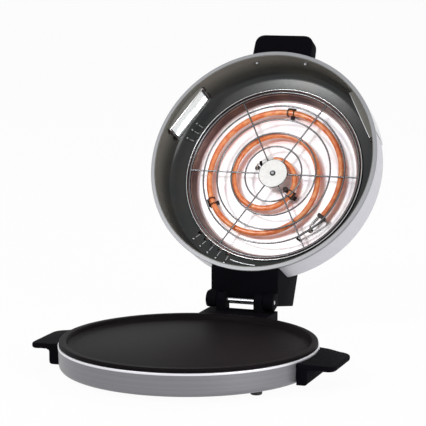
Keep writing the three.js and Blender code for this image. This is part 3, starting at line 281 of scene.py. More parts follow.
def linear(colour):
    channels = [int(colour[i : i + 2], 16) / 255 for i in (1, 3, 5)]
    return (*[c / 12.92 if c <= 0.04045 else ((c + 0.055) / 1.055) ** 2.4 for c in channels], 1.0)


def feed(tree, node, inputs):
    # Sets each input to a value, or links it to a socket or to another node's first output.
    for name, value in inputs.items():
        if isinstance(value, bpy.types.Node):
            value = value.outputs[0]
        if isinstance(value, bpy.types.NodeSocket):
            tree.links.new(value, node.inputs[name])
        else:
            node.inputs[name].default_value = value


def addNode(tree, kind, inputs=None, stops=(), **settings):
    node = tree.nodes.new(f"ShaderNode{kind}")
    for name, value in settings.items():
        setattr(node, name, value)
    feed(tree, node, inputs or {})
    if stops:  # a colour ramp's positions and colours
        for position, _ in stops[1:-1]:
            node.color_ramp.elements.new(position)
        for element, (position, colour) in zip(node.color_ramp.elements, stops):
            element.position, element.color = position, linear(colour)
    return node


def startMaterial(name, **shader):
    material = bpy.data.materials.new(name)
    material.use_nodes = True
    tree = material.node_tree
    principled = tree.nodes["Principled BSDF"]
    feed(tree, principled, {socket.replace("_", " "): value for socket, value in shader.items()})
    return material, tree, principled


def surfacePoint(tree, inLid):
    # Millimetres in the base's frame, or in the closed lid's, so that a pattern follows the metal's own axis.
    point = addNode(tree, "TexCoord").outputs["Object"]
    point = addNode(tree, "Mapping", {"Vector": point, "Scale": (1 / millimetre,) * 3})
    if not inLid:
        return point
    toHinge = (0, -opened["hingeY"], -opened["hingeZ"])
    point = addNode(tree, "Mapping", {"Vector": point, "Location": toHinge})
    closing = {
        "Rotation": (radians(opened["degrees"]), 0, 0),
        "Location": (0, opened["hingeY"], opened["hingeZ"] - opened["lidRim"]),
    }
    return addNode(tree, "Mapping", {"Vector": point, **closing})


def roundTheAxis(tree, point):
    # The height, and radius and height as a vector, so that a noise on it runs in rings, as on spun metal.
    parts = addNode(tree, "SeparateXYZ", {"Vector": point})
    flat = addNode(tree, "CombineXYZ", {"X": parts.outputs["X"], "Y": parts.outputs["Y"]})
    radius = addNode(tree, "VectorMath", {0: flat}, operation="LENGTH").outputs["Value"]
    height = parts.outputs["Z"]
    return addNode(tree, "CombineXYZ", {"X": radius, "Y": height}), height


def roughen(tree, principled, pattern, low, high, strength, depth, relief=None):
    # A pattern takes the roughness from low to high, and the same one or another gives a relief in metres.
    reach = {"From Min": 0.3, "From Max": 0.7, "To Min": low, "To Max": high}
    gloss = addNode(tree, "MapRange", {"Value": pattern, **reach})
    raised = pattern if relief is None else relief
    bump = {"Height": raised, "Strength": strength, "Distance": depth}
    feed(tree, principled, {"Roughness": gloss, "Normal": addNode(tree, "Bump", bump)})


def spunMetal(name, inLid, dark, light, lip, lipFrom, lipTo, metallic, roughness, grain):
    # Sheet metal spun and brushed in rings, with its lip in its own colour; on the band that colour is a
    # painted highlight.
    material, tree, principled = startMaterial(name, Metallic=metallic)
    rings, height = roundTheAxis(tree, surfacePoint(tree, inLid))
    brushing = addNode(tree, "TexNoise", {"Vector": rings, "Scale": 1 / grain, "Detail": 3.0})
    sheet = addNode(tree, "ValToRGB", {"Fac": brushing}, stops=((0.3, dark), (0.7, light)))
    atLip = addNode(tree, "MapRange", {"Value": height, "From Min": lipFrom, "From Max": lipTo})
    mixed = addNode(tree, "Mix", {"Factor": atLip, 6: sheet, 7: linear(lip)}, data_type="RGBA")
    feed(tree, principled, {"Base Color": mixed.outputs[2]})
    roughen(tree, principled, brushing, roughness - 0.03, roughness + 0.03, 0.05, 0.00005)
    return material


def grained(name, dark, light, grain, roughness, strength, **shader):
    # A fine even grain in colour, gloss and height, as moulding, coating and plating leave.
    material, tree, principled = startMaterial(name, **shader)
    point = surfacePoint(tree, False)
    noise = addNode(tree, "TexNoise", {"Vector": point, "Scale": 1 / grain, "Detail": 3.0})
    colour = addNode(tree, "ValToRGB", {"Fac": noise}, stops=((0.35, dark), (0.65, light)))
    feed(tree, principled, {"Base Color": colour})
    roughen(tree, principled, noise, roughness - 0.05, roughness + 0.05, strength, 0.0002)
    return material


def enamelledSteel(mottling=50.0, speckle=5 / 6, rimLightFrom=52.0, rimLightTo=12.0, worn=0.85):
    # Grey enamel on spun sheet steel: dark and fairly glossy, with a paler warm grey towards the rim that is
    # painted light, so that it reads darker deeper in as painted shade.
    material, tree, principled = startMaterial("enamelledSteel", Metallic=0.1, Specular_IOR_Level=0.28)
    point = surfacePoint(tree, True)
    _, depth = roundTheAxis(tree, point)
    mottle = addNode(tree, "TexNoise", {"Vector": point, "Scale": 1 / mottling, "Detail": 3.0})
    base = addNode(tree, "ValToRGB", {"Fac": mottle}, stops=((0.35, "#26292b"), (0.65, "#2f302d")))
    # Painted light and shade: the enamel mixes towards a pale warm grey near the rim and stays dark with
    # depth.
    reach = {"From Min": rimLightTo, "From Max": rimLightFrom, "To Min": worn, "To Max": 0.0}
    share = addNode(tree, "MapRange", {"Value": depth, **reach})
    mixed = addNode(tree, "Mix", {"Factor": share, 6: base, 7: linear("#7d7b74")}, data_type="RGBA")
    feed(tree, principled, {"Base Color": mixed.outputs[2]})
    speck = addNode(tree, "TexNoise", {"Vector": point, "Scale": 1 / speckle, "Detail": 2.0})
    roughen(tree, principled, speck, 0.2, 0.28, 0.08, 0.0001)
    return material


def heatTintedAluminium(patch=28.57, brush=1.25, wallFrom=74.0, wallTo=70.0):
    # Bright aluminised pan: a near white floor with lilac and straw heat tints, and a browned side wall.
    material, tree, principled = startMaterial("heatTintedAluminium", Metallic=0.6)
    point = surfacePoint(tree, True)
    rings, depth = roundTheAxis(tree, point)
    patches = addNode(tree, "TexNoise", {"Vector": point, "Scale": 1 / patch, "Detail": 2.0})
    pale = ((0.3, "#f4e6ea"), (0.5, "#fbf9fa"), (0.7, "#f0ecf4"))
    brown = ((0.35, "#4a3336"), (0.65, "#6a5148"))
    floor = addNode(tree, "ValToRGB", {"Fac": patches}, stops=pale)
    wall = addNode(tree, "ValToRGB", {"Fac": patches}, stops=brown)
    reach = {"From Min": wallTo, "From Max": wallFrom, "To Min": 1.0, "To Max": 0.0}
    atWall = addNode(tree, "MapRange", {"Value": depth, **reach})
    mixed = addNode(tree, "Mix", {"Factor": atWall, 6: floor, 7: wall}, data_type="RGBA")
    feed(tree, principled, {"Base Color": mixed.outputs[2]})
    brushing = addNode(tree, "TexNoise", {"Vector": rings, "Scale": 1 / brush, "Detail": 3.0})
    roughen(tree, principled, brushing, 0.26, 0.38, 0.1, 0.0001)
    return material


def glowingSheath(patch=8.33):
    # The element's steel sheath, orange from heat, with softly darker patches of oxide.
    material, tree, principled = startMaterial(
        "glowingSheath", Roughness=0.3, Coat_Weight=0.5, Coat_Roughness=0.15,
        Emission_Color=linear("#ff6a24"), Emission_Strength=0.08,
    )
    point = surfacePoint(tree, True)
    oxide = addNode(tree, "TexNoise", {"Vector": point, "Scale": 1 / patch, "Detail": 4.0})
    tints = ((0.3, "#d9652f"), (0.5, "#ee8a4e"), (0.7, "#f7b47f"))
    heat = addNode(tree, "ValToRGB", {"Fac": oxide}, stops=tints)
    relief = addNode(tree, "Bump", {"Height": oxide, "Strength": 0.1, "Distance": 0.0002})
    feed(tree, principled, {"Base Color": heat, "Normal": relief})
    return material


def castNonStick(speckle=1.0, ring=2.0):
    # Cast aluminium under a black PTFE coat: satin, with a fine speckle and faint turned rings.
    material, tree, principled = startMaterial("castNonStick", Specular_IOR_Level=0.04)
    point = surfacePoint(tree, False)
    rings, _ = roundTheAxis(tree, point)
    grain = addNode(tree, "TexNoise", {"Vector": point, "Scale": 1 / speckle, "Detail": 3.0})
    turned = addNode(tree, "TexNoise", {"Vector": rings, "Scale": 1 / ring, "Detail": 2.0})
    coat = addNode(tree, "ValToRGB", {"Fac": grain}, stops=((0.4, "#0a0709"), (0.7, "#151113")))
    feed(tree, principled, {"Base Color": coat})
    roughen(tree, principled, turned, 0.5, 0.54, 0.2, 0.0001, relief=grain)
    return material


def wovenSleeve(strand=1.0):
    # White glass-fibre braid over a lead, matt, its strands drawn 1 mm wide.
    material, tree, principled = startMaterial("wovenSleeve", Roughness=0.85)
    point = surfacePoint(tree, False)
    weave = addNode(tree, "TexVoronoi", {"Vector": point, "Scale": 1 / strand})
    colour = addNode(tree, "ValToRGB", {"Fac": weave}, stops=((0.1, "#f2f0ea"), (0.7, "#cfccc4")))
    relief = addNode(tree, "Bump", {"Height": weave, "Strength": 0.4, "Distance": 0.0003})
    feed(tree, principled, {"Base Color": colour, "Normal": relief})
    return material


# Grains and rings are sizes in millimetres, some drawn coarser than real so that they show.
finishes = {
    # Satin silver lacquer on sheet steel, brushed in rings: soft highlights that run round the dome
    "lidSteel": spunMetal(
        "satinLidSteel", inLid=True, dark="#c4c3ca", light="#cfced5", lip="#8e8f92",
        lipFrom=5.0, lipTo=4.0, metallic=0.45, roughness=0.42, grain=0.9,
    ),
    # The band's darker lacquer, with a bright painted highlight along its rolled lip
    "bandSteel": spunMetal(
        "satinBandSteel", inLid=False, dark="#77777b", light="#808085", lip="#e4e3e8",
        lipFrom=-2.0, lipTo=-1.4, metallic=0.55, roughness=0.4, grain=0.9,
    ),
    "enamel": enamelledSteel(),
    "reflector": heatTintedAluminium(),
    "nonStick": castNonStick(),
    "glow": glowingSheath(),
    "braid": wovenSleeve(),
    # Black phenolic moulding with a spark-eroded grain: nearly black and matt
    "phenolic": grained("mouldedPhenolic", "#08070a", "#0f0d12", 0.5, 0.66, 0.25, Specular_IOR_Level=0.015),
    # Moulded rubber: a greyer black, quite matt
    "rubber": grained("mouldedRubber", "#161617", "#232324", 0.6, 0.75, 0.2),
    # Plated wire, plated trim and zinc-plated screws: sharp highlights, dulling a little in that order
    "wire": grained("chromedWire", "#626467", "#808285", 0.8, 0.22, 0.05, Metallic=1.0),
    "trim": grained("nickelTrim", "#a5a6a8", "#c4c5c6", 0.8, 0.22, 0.05, Metallic=1.0),
    "zinc": grained("zincPlate", "#9a9ca0", "#b6b8bb", 0.6, 0.3, 0.1, Metallic=1.0),
    # Bright and plain sheet as rolled: broad blurred reflections
    "tray": grained("brightSheet", "#c9cbcd", "#e2e3e5", 1.5, 0.32, 0.05, Metallic=0.9),
    "steel": grained("aluminisedSheet", "#82858a", "#9a9da1", 1.5, 0.42, 0.1, Metallic=0.9),
    # Steel blackened by heat: dark brown with a dull sheen; on the window tabs it is painted shade
    "darkSteel": grained("oxidisedSteel", "#1d1816", "#38312e", 0.8, 0.5, 0.2, Metallic=0.4),
    # Glazed steatite: clean white under a clear gloss
    "ceramic": grained("glazedSteatite", "#fbf9f6", "#fefdfb", 5.0, 0.28, 0.03, Coat_Weight=0.3),
    # Clear toughened glass
    "glass": grained(
        "toughenedGlass", "#f4f7f7", "#f8fafa", 6.0, 0.06, 0.0, Transmission_Weight=1.0, IOR=1.47
    ),
}
print("materials made")


def addPiece(name, bm, body, finish, replaced=None, smoothBelow=35.0):
    moved(bm, places[body])
    bmesh.ops.recalc_face_normals(bm, faces=bm.faces)
    data = bpy.data.meshes.new(name)
    bm.to_mesh(data)
    bm.free()
    data.materials.append(finishes[finish])
    data.shade_smooth()
    data.set_sharp_from_angle(angle=radians(smoothBelow))
    piece = bpy.data.objects.new(name, data)
    scene.collection.objects.link(piece)
    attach(piece, body)
    if replaced:
        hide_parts(replaced)


def dress(finish, *names):
    for name in names:
        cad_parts[name].data.materials.clear()
        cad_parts[name].data.materials.append(finishes[finish])


# Baking plate: a rounded bead round a flat face, a shallow groove inside it, and bosses below
plate = {
    "radius": 160.0, "body": 157.2, "under": -4.5, "lip": 1.3, "rim": 6.2, "crest": 6.4, "slope": 10.4,
    "foot": 14.0, "groove": ((15.0, -0.25), (16.4, -0.25), (17.4, 0.0)),
}
boss = {"degrees": (30, 150, 270), "circle": 140.0, "radius": 6.0, "bottom": -10.5, "top": -4.3}
edge, lip, rim = plate["radius"], plate["lip"], plate["rim"]
plateOutline = trace(
    (0, plate["under"]), (plate["body"], plate["under"]), (plate["body"], lip), (edge - 0.4, lip),
    ((edge, lip), (edge, lip + 0.5)), (edge, rim - 2.2), ((edge, rim), (edge - 2.6, rim)),
    (edge - plate["crest"], rim), ((edge - 9.2, rim), (edge - plate["slope"], 2.4)),
    ((edge - 11.2, 0.0), (edge - plate["foot"], 0.0)),
    *[(edge - inset, height) for inset, height in plate["groove"]], (0, 0),
)
bosses = []
for degrees in boss["degrees"]:
    turn = radians(degrees)
    spot = (boss["circle"] * cos(turn), boss["circle"] * sin(turn), 0)
    bosses.append(moved(rod(boss["radius"], boss["bottom"], boss["top"]), Matrix.Translation(spot)))
shape = together(lathe(plateOutline, mesh["fineTurns"]), *bosses)
addPiece("bakingPlate", shape, "base", "nonStick", "baking_plate", 50.0)

# Band: satin sheet with a rolled lip under the plate's bead, its top painted bright as a painted highlight
band = {
    "radius": 161.2, "inside": 159.0, "ledge": 157.5, "flange": 146.0, "top": 1.0, "bottom": -28.5,
    "sheet": 1.2, "clearance": 0.3,
}
gland = {"degrees": 58.0, "height": -15.5, "hole": 5.8}
outer, inner, sheet = band["radius"], band["inside"], band["sheet"]
high, low = band["top"], band["bottom"]
bandOutline = trace(
    (band["flange"], low), (152.0, low), ((inner + sheet, low), (inner + sheet, -21.0)),
    (160.8, -2.2), ((161.1, -1.9), (outer, -1.2)), (outer, 0.2), ((outer, high), (160.4, high)),
    (band["ledge"], high), (band["ledge"], high - sheet), (159.6, high - sheet), (inner, -21.2),
    ((inner, low + sheet), (151.8, low + sheet)), (band["flange"], low + sheet),
)
glandPlace = radially(gland["degrees"], gland["height"])
shape = carve(lathe(bandOutline, mesh["fineTurns"]), moved(rod(gland["hole"], 120, 175), glandPlace))
addPiece("sideBand", shape, "base", "bandSteel", "base_band")
bandFit = band["radius"] + band["clearance"]

# Feet: tapered rubber, with a stem into the floor or the hinge bracket
feet = {"radius": 8.0, "toe": 6.8, "table": -36.0, "stem": 3.0, "stemLength": 2.9}
footPlaces = {
    "front_left": (-113.98, -76.01, -27.3), "front_right": (113.98, -76.01, -27.3),
    "rear_left": (-38.0, 188.0, -28.8), "rear_right": (38.0, 188.0, -28.8),
}
for place, (x, y, seat) in footPlaces.items():
    toe, table, stem, end = feet["toe"], feet["table"], feet["stem"], seat + feet["stemLength"]
    outline = trace(
        (0, table), (toe - 1, table), ((toe, table), (toe + 0.2, table + 1)), (feet["radius"], seat),
        (stem, seat), (stem, end), (0, end),
    )
    shape = moved(lathe(outline, 40), Matrix.Translation((x, y, 0)))
    addPiece(f"{place}_pad", shape, "base", "rubber", f"{place}_foot")

# Side handles: a sloping paddle over a pad, both cut to the band's curve
paddle = {
    "start": 140.0, "root": 48.0, "tip": 42.0, "reach": 198.7, "corner": 16.0, "thick": 7.0,
    "high": -2.5, "slope": 5.0, "edge": 2.6,
}
pad = {
    "start": 150.0, "half": 47.5, "reach": 167.5, "bottom": -28.5, "foot": 4.5, "fillet": 3.0,
    "under": -10.3, "edge": 0.8,
}


def roundedSide(start, corner, end):
    # Half an outline: a straight side, then a rounded corner.
    return [(point.x, point.z) for point in trace(*start, (corner, end))]


halfPaddle = roundedSide(
    [(pad["reach"], -paddle["root"]), (paddle["reach"] - paddle["corner"], -paddle["tip"])],
    (paddle["reach"], -paddle["tip"]),
    (paddle["reach"], paddle["corner"] - paddle["tip"]),
)
paddleOutline = [
    (paddle["start"], -paddle["root"]), *halfPaddle, *[(x, -y) for x, y in reversed(halfPaddle)],
    (paddle["start"], paddle["root"]),
]
reach, low, foot = pad["reach"], pad["bottom"], pad["foot"]
under, fillet = pad["under"], pad["fillet"]
padOutline = trace(
    (pad["start"], low), (reach - foot, low), ((reach, low), (reach, low + foot)),
    (reach, under - fillet), ((reach, under), (reach + fillet, under)), (reach + fillet, under + 3),
    (pad["start"], under + 4),
)
sloped = (
    Matrix.Translation((bandFit, 0, paddle["high"]))
    @ Matrix.Rotation(radians(paddle["slope"]), 4, "Y")
    @ Matrix.Translation((-bandFit, 0, 0))
)
for side, sign in (("left", -1), ("right", 1)):
    top = moved(soften(slab(paddleOutline, -paddle["thick"], 0.0), paddle["edge"], 5), sloped)
    rib = moved(slab([(point.x, point.z) for point in padOutline], -pad["half"], pad["half"]), lengthways)
    shape = carve(top, soften(rib, pad["edge"], 3), operation="UNION")
    shape = carve(shape, roundCutter(bandFit))
    if sign < 0:
        moved(shape, Matrix.Diagonal((-1, 1, 1, 1)))
        bmesh.ops.reverse_faces(shape, faces=shape.faces)
    addPiece(f"{side}Handle", shape, "base", "phenolic", f"{side}_side_handle", 40.0)

# Hinge: a moulded bracket with two ears, and a steel pin through ears and lid
bracket = {
    "half": 48.0, "front": 150.0, "back": 208.0, "top": 4.0, "bottom": -28.5, "chamfer": 4.0,
    "edge": 1.0,
}
ear = {"inner": 20.0, "outer": 32.5, "radius": 10.0, "edge": 0.8}
pin = {"half": 46.7, "radius": 3.0, "end": 2.2, "round": 1.0, "hole": 3.3}
bracketOutline = [
    (bracket["front"], bracket["bottom"]), (bracket["back"] - bracket["chamfer"], bracket["bottom"]),
    (bracket["back"], bracket["bottom"] + bracket["chamfer"]), (bracket["back"], bracket["top"]),
    (bracket["front"], bracket["top"]),
]
lower = moved(slab(bracketOutline, -bracket["half"], bracket["half"]), sideways)
lower = carve(soften(lower, bracket["edge"], 3), roundCutter(bandFit))
hinge = (opened["hingeY"], opened["hingeZ"])
earOutline = [
    (hinge[0] + ear["radius"], 0.0), *arc(hinge, ear["radius"], 0, 180, 12),
    (hinge[0] - ear["radius"], 0.0),
]
ears = []
for low, high in ((-ear["outer"], -ear["inner"]), (ear["inner"], ear["outer"])):
    ears.append(soften(moved(slab(earOutline, low, high), sideways), ear["edge"], 2))
acrossHinge = Matrix.Translation((0, *hinge)) @ Matrix.Rotation(pi / 2, 4, "Y")
pinHole = moved(rod(pin["hole"], -60, 60), acrossHinge)
shape = together(lower, carve(together(*ears), pinHole))
addPiece("hingeBracket", shape, "base", "phenolic", "hinge_bracket", 40.0)
radius, half, straight = pin["radius"], pin["half"], pin["half"] - pin["round"]
pinOutline = trace(
    (0, -half), (pin["end"], -half), ((radius, -half), (radius, -straight)), (radius, straight),
    ((radius, half), (pin["end"], half)), (0, half),
)
shape = moved(lathe(pinOutline, 32), acrossHinge)
addPiece("hingePin", shape, "base", "zinc", "hinge_pin")

# Cord gland: a ribbed collar on the band's rear right
glandOutline = trace(
    (3.6, 154.6), (9.0, 154.6), (9.0, 157.7), (5.5, 157.7), (5.5, bandFit), (8.6, bandFit),
    ((9.0, bandFit), (9.0, 162.2)), (8.2, 163.2), (7.9, 163.2), (7.6, 164.6), (7.0, 164.6), (6.8, 166.0),
    ((5.6, 167.5), (4.6, 167.5)), (3.6, 167.5),
)
shape = moved(lathe(glandOutline, 40), glandPlace)
addPiece("cordCollar", shape, "base", "phenolic", "cord_gland")
print("base dressed")

# Windows of the lid: places shared by the shell, the liner and the pockets
window = {"right": 30.0, "left": 150.0, "half": 37.0, "near": 8.0, "far": 46.0, "clearance": 0.3}


def windowCuts():
    grow = window["clearance"]
    across = (-window["half"] - grow, window["half"] + grow)
    deep = (window["near"] - grow, window["far"] + grow)
    return [moved(block((137.0, 190.0), across, deep), atAngle(window[side])) for side in ("right", "left")]


# Lid shell: a spun dome with a flat bright lip, and holes for the two leads
leads = {"aside": 12.0, "hole": 3.6, "exit": 61.4, "behind": 77.5, "radius": 1.15}
shellOutline = trace(
    (154.5, 0.0), (158.9, 0.0), ((159.5, 0.0), (159.5, 0.6)), (159.5, 3.6), ((159.5, 4.4), (158.9, 4.8)),
    (158.5, 5.2), (157.5, 46.0), ((154.0, 70.0), (119.0, 80.1)), ((76.2, 92.1), (0.0, 92.1)),
    (0.0, 91.2), ((76.0, 91.2), (118.8, 79.2)), ((153.1, 69.4), (156.6, 46.0)), (157.6, 4.6),
    (157.6, 0.9), (154.5, 0.9),
)
leadHoles = []
for x in (-leads["aside"], leads["aside"]):
    hole = rod(leads["hole"], 130, 190)
    backwards = Matrix.Translation((x, 0, leads["exit"])) @ Matrix.Rotation(-pi / 2, 4, "X")
    leadHoles.append(moved(hole, backwards))
shape = carve(lathe(shellOutline, mesh["fineTurns"]), *windowCuts(), *leadHoles)
addPiece("lidShell", shape, "lid", "lidSteel", "lid_shell", 30.0)

# Liner: an enamelled wall and shoulder inside the shell, with vent slots in the shoulder
shoulder = {"inner": 125.5, "innerDepth": 57.0, "outer": 140.0, "outerDepth": 54.8}
linerOutline = trace(
    (153.4, 0.6), (153.0, 38.0), ((152.6, 52.0), (shoulder["outer"], shoulder["outerDepth"])),
    (shoulder["inner"], shoulder["innerDepth"]), (125.6, 57.8), (140.2, 55.6),
    ((153.4, 52.7), (153.8, 38.1)), (154.2, 0.6),
)
vents = {"degrees": (225, 231, 237, 243, 249, 150, 154.5, 160), "near": 127.1, "far": 132.4, "half": 2.8}
slots = []
for degrees in vents["degrees"]:
    slot = block((vents["near"], vents["far"]), (-vents["half"], vents["half"]), (50, 64))
    slots.append(moved(slot, atAngle(degrees)))
shape = carve(lathe(linerOutline, mesh["fineTurns"]), *windowCuts(), *slots)
addPiece("lidLiner", shape, "lid", "enamel", "lid_liner", 30.0)

# Marks beside the vents: a thin ridge from each slot with a weld dot at its end, and one curved ridge
marks = {
    "aside": 0.9, "ridge": (131.5, 135.0, 138.5), "thick": 0.7, "sunk": 0.1, "dotAt": 142.5,
    "dotDepth": 54.0, "dot": 1.9, "curve": 134.5,
}


def onShoulder(degrees, radius):
    fall = (shoulder["innerDepth"] - shoulder["outerDepth"]) / (shoulder["outer"] - shoulder["inner"])
    depth = shoulder["innerDepth"] - (radius - shoulder["inner"]) * fall
    return lidPoint(degrees, radius, depth - marks["sunk"])


shapes = []
for degrees in vents["degrees"]:
    beside = degrees + marks["aside"]
    ridge = [onShoulder(beside, radius) for radius in marks["ridge"]]
    shapes.append(tube(ridge, marks["thick"], roundness=1))
    dot = bmesh.new()
    bmesh.ops.create_uvsphere(dot, u_segments=12, v_segments=8, radius=marks["dot"])
    shapes.append(moved(dot, Matrix.Translation(lidPoint(beside, marks["dotAt"], marks["dotDepth"]))))
curvedRidge = [onShoulder(degrees, marks["curve"]) for degrees in range(252, 269, 2)]
shapes.append(tube(curvedRidge, marks["thick"], roundness=1))
addPiece("linerWeldMarks", together(*shapes), "lid", "zinc")

# Spiral element: its radius grows in two smooth steps, given in degrees turned from its inner end
element = {
    "start": 100.0, "turned": 855, "outer": 95.0, "inner": 0.247, "steps": ((40, 290), (430, 620)),
    "rises": (0.387, 0.366), "depth": 64.0, "tube": 4.0, "back": 74.8,
}


def spiralRadius(turned):
    share = element["inner"]
    for (low, high), rise in zip(element["steps"], element["rises"]):
        done = min(max((turned - low) / (high - low), 0), 1)
        share += rise * done * done * (3 - 2 * done)
    return element["outer"] * share


def spiralPoint(turned):
    return lidPoint(element["start"] - turned, spiralRadius(turned), element["depth"])


def spiralFrame(turned):
    # Axes across the tube, into the lid and along the tube.
    run = (spiralPoint(turned + 0.5) - spiralPoint(turned - 0.5)).normalized()
    across = Vector((0, 0, 1)).cross(run).normalized()
    level = across.cross(Vector((0, 0, 1)))
    axes = Matrix((across, Vector((0, 0, 1)), level)).transposed().to_4x4()
    return Matrix.Translation(spiralPoint(turned)) @ axes


spiral = [spiralPoint(turned) for turned in range(0, element["turned"] + 1, 3)]
shape = tube(spiral, element["tube"], roundness=5)
addPiece("upperElement", shape, "lid", "glow", "upper_heating_element")

# Cold ends: where each starts and how it runs, with lengths along it
coldEnd = {"bend": -8.0, "leadAt": 21.2, "holeAt": 28.1}
beads = {
    "from": 5.6, "inwards": 3.6, "count": 5, "length": 13.0, "radius": 2.4, "neck": 1.6, "gap": 0.45,
    "leadAt": 13.3, "holeAt": 20.2,
}
coldStart = spiralPoint(0)
coldRun = (spiralPoint(0) - spiralPoint(0.5)).normalized()
coldRun.rotate(Matrix.Rotation(radians(coldEnd["bend"]), 3, "Z"))
clampAt = spiralPoint(element["turned"])
outwards = Vector((clampAt.x, clampAt.y, 0)).normalized()
endRun = (clampAt - spiralPoint(element["turned"] - 1)).normalized()
beadStart = clampAt + beads["from"] * endRun - beads["inwards"] * outwards
innerHole = coldStart + coldEnd["holeAt"] * coldRun
outerHole = beadStart + beads["holeAt"] * endRun

# Reflector pan behind the guard, with a hole for each lead
panOutline = trace(
    (128.0, 58.1), (119.6, 58.1), ((119.0, 58.1), (118.9, 58.7)), (115.5, 71.6),
    ((115.5, 75.1), (112.0, 75.1)), (0, 75.1), (0, 75.9), (112.4, 75.9), ((116.3, 75.9), (116.3, 71.7)),
    (119.7, 58.9), (128.0, 58.9),
)
panHoles = []
for hole in (innerHole, outerHole):
    panHoles.append(moved(rod(leads["hole"], 70, 80), Matrix.Translation((hole.x, hole.y, 0))))
shape = carve(lathe(panOutline), *panHoles)
addPiece("reflectorPan", shape, "lid", "reflector", "reflector_pan")

# Inner cold end: a ceramic sleeve and a black cap
sleeve = {"radius": 4.6, "from": 1.0, "to": 17.0, "end": 0.8, "round": 1.4}
cap = {"radius": 3.7, "from": 17.3, "to": 20.9, "round": 1.1, "neck": 2.6}
coldPlace = along(coldStart, coldRun)
radius, low, high = sleeve["radius"], sleeve["from"], sleeve["to"]
sleeveOutline = trace(
    (0, low), (radius - sleeve["end"], low), ((radius, low), (radius, low + sleeve["end"])),
    (radius, high - sleeve["round"]), ((radius, high), (radius - sleeve["round"], high)), (0, high),
)
radius, low, high = cap["radius"], cap["from"], cap["to"]
capOutline = trace(
    (0, low), (radius, low), (radius, high - cap["round"]), ((radius, high), (cap["neck"], high)), (0, high),
)
shape = moved(lathe(sleeveOutline, 40), coldPlace)
addPiece("coldEndSleeve", shape, "lid", "ceramic", "cold_end_sleeve")
shape = moved(lathe(capOutline, 40), coldPlace)
addPiece("coldEndCap", shape, "lid", "phenolic", "cold_end_cap")

# Outer cold end: a clamp, ceramic beads on their conductor, and a stay to the pan
clamp = {"half": 6.0, "deep": 4.0, "from": 0.3, "to": 5.3, "edge": 0.7}
conductor = {"radius": 2.0, "inset": 0.2}
stay = {"radius": 1.6, "outwards": 4.7}
shape = block((-clamp["half"], clamp["half"]), (-clamp["deep"], clamp["deep"]), (clamp["from"], clamp["to"]))
slit = block((-5, 5), (-4.4, -3.4), (2.4, 3.2))
shape = moved(carve(soften(shape, clamp["edge"], 2), slit), spiralFrame(element["turned"]))
addPiece("terminalClamp", shape, "lid", "darkSteel", "terminal_clamp")

pitch = beads["length"] / beads["count"]
beadStops = [(0, 0), (beads["neck"], 0)]
for i in range(beads["count"]):
    low, high = i * pitch + beads["gap"], (i + 1) * pitch - beads["gap"]
    beadStops.append((beads["neck"], low))
    beadStops.append(((beads["radius"], low), (beads["radius"], (low + high) / 2)))
    beadStops.append(((beads["radius"], high), (beads["neck"], high)))
shape = moved(lathe(trace(*beadStops, (0, beads["length"])), 24), along(beadStart, endRun))
addPiece("terminalBeads", shape, "lid", "ceramic", "terminal_beads")
shape = rod(conductor["radius"], conductor["inset"], beads["length"] - conductor["inset"], 20)
shape = moved(shape, along(beadStart, endRun))
addPiece("terminalConductor", shape, "lid", "darkSteel")

stayPoints = [
    clampAt + beads["from"] * endRun + stay["outwards"] * outwards,
    lidPoint(-48.5, 98.0, 64.0),
    lidPoint(-62.0, 98.0, 67.2),
    lidPoint(-62.0, 101.0, 73.2),
]
shape = tube(smoothRun(stayPoints, 8), stay["radius"])
addPiece("terminalStay", shape, "lid", "darkSteel", "terminal_stay")

# Leads: through the pan, behind it, and out of the shell into the hinge block
for name, start, hole, x in (
    ("live", coldStart + coldEnd["leadAt"] * coldRun, innerHole, -leads["aside"]),
    ("neutral", beadStart + beads["leadAt"] * endRun, outerHole, leads["aside"]),
):
    route = [
        start,
        start.lerp(Vector((hole.x, hole.y, start.z)), 0.5),
        Vector((hole.x, hole.y, 73.9)),
        Vector((hole.x, hole.y, 75.9)),
        Vector((hole.x, hole.y + 4.0, leads["behind"])),
        Vector((x, 56.0, leads["behind"])),
        Vector((x, 112.0, leads["behind"])),
        Vector((x, 122.6, 73.9)),
        Vector((x, 152.8, leads["exit"])),
        Vector((x, 156.2, leads["exit"])),
    ]
    shape = tube(smoothRun(route, 8), leads["radius"])
    addPiece(f"{name}LidLead", shape, "lid", "braid", f"{name}_lid_lead")

# Clips over the tube: two straps joined by bars, on a footed stem
clip = {
    "turned": (145, 613, 736), "bore": 4.2, "strap": 0.8, "apart": 4.4, "bar": 1.5, "barHalf": 1.8,
    "overhang": 0.6, "rod": 0.9, "stem": 1.5, "foot": 7.0, "footThick": 1.2, "half": 3.0,
}
strap, deep, across = clip["strap"], (-clip["half"], clip["half"]), (-clip["barHalf"], clip["barHalf"])
outer = clip["bore"] + strap
reach = clip["apart"] + strap
end = reach + clip["overhang"]
toFoot = element["back"] - element["depth"]
for i, turned in enumerate(clip["turned"]):
    parts = [loop(outer, strap, side * clip["apart"], 40) for side in (-1, 1)]
    parts.append(soften(block((-outer - clip["bar"], strap - outer), across, (-end, end)), 0.4, 2))
    parts.append(moved(rod(clip["rod"], -reach, reach, 16), Matrix.Translation((0, outer, 0))))
    stem = block((-clip["stem"], clip["stem"]), (outer, toFoot), deep)
    foot = block((-clip["foot"], clip["foot"]), (toFoot - clip["footThick"], toFoot), deep)
    shape = together(soften(carve(stem, foot, operation="UNION"), 0.25, 2), *parts)
    moved(shape, spiralFrame(turned))
    addPiece(f"elementClip{i + 1}", shape, "lid", "darkSteel", f"element_clip_{i + 1}")

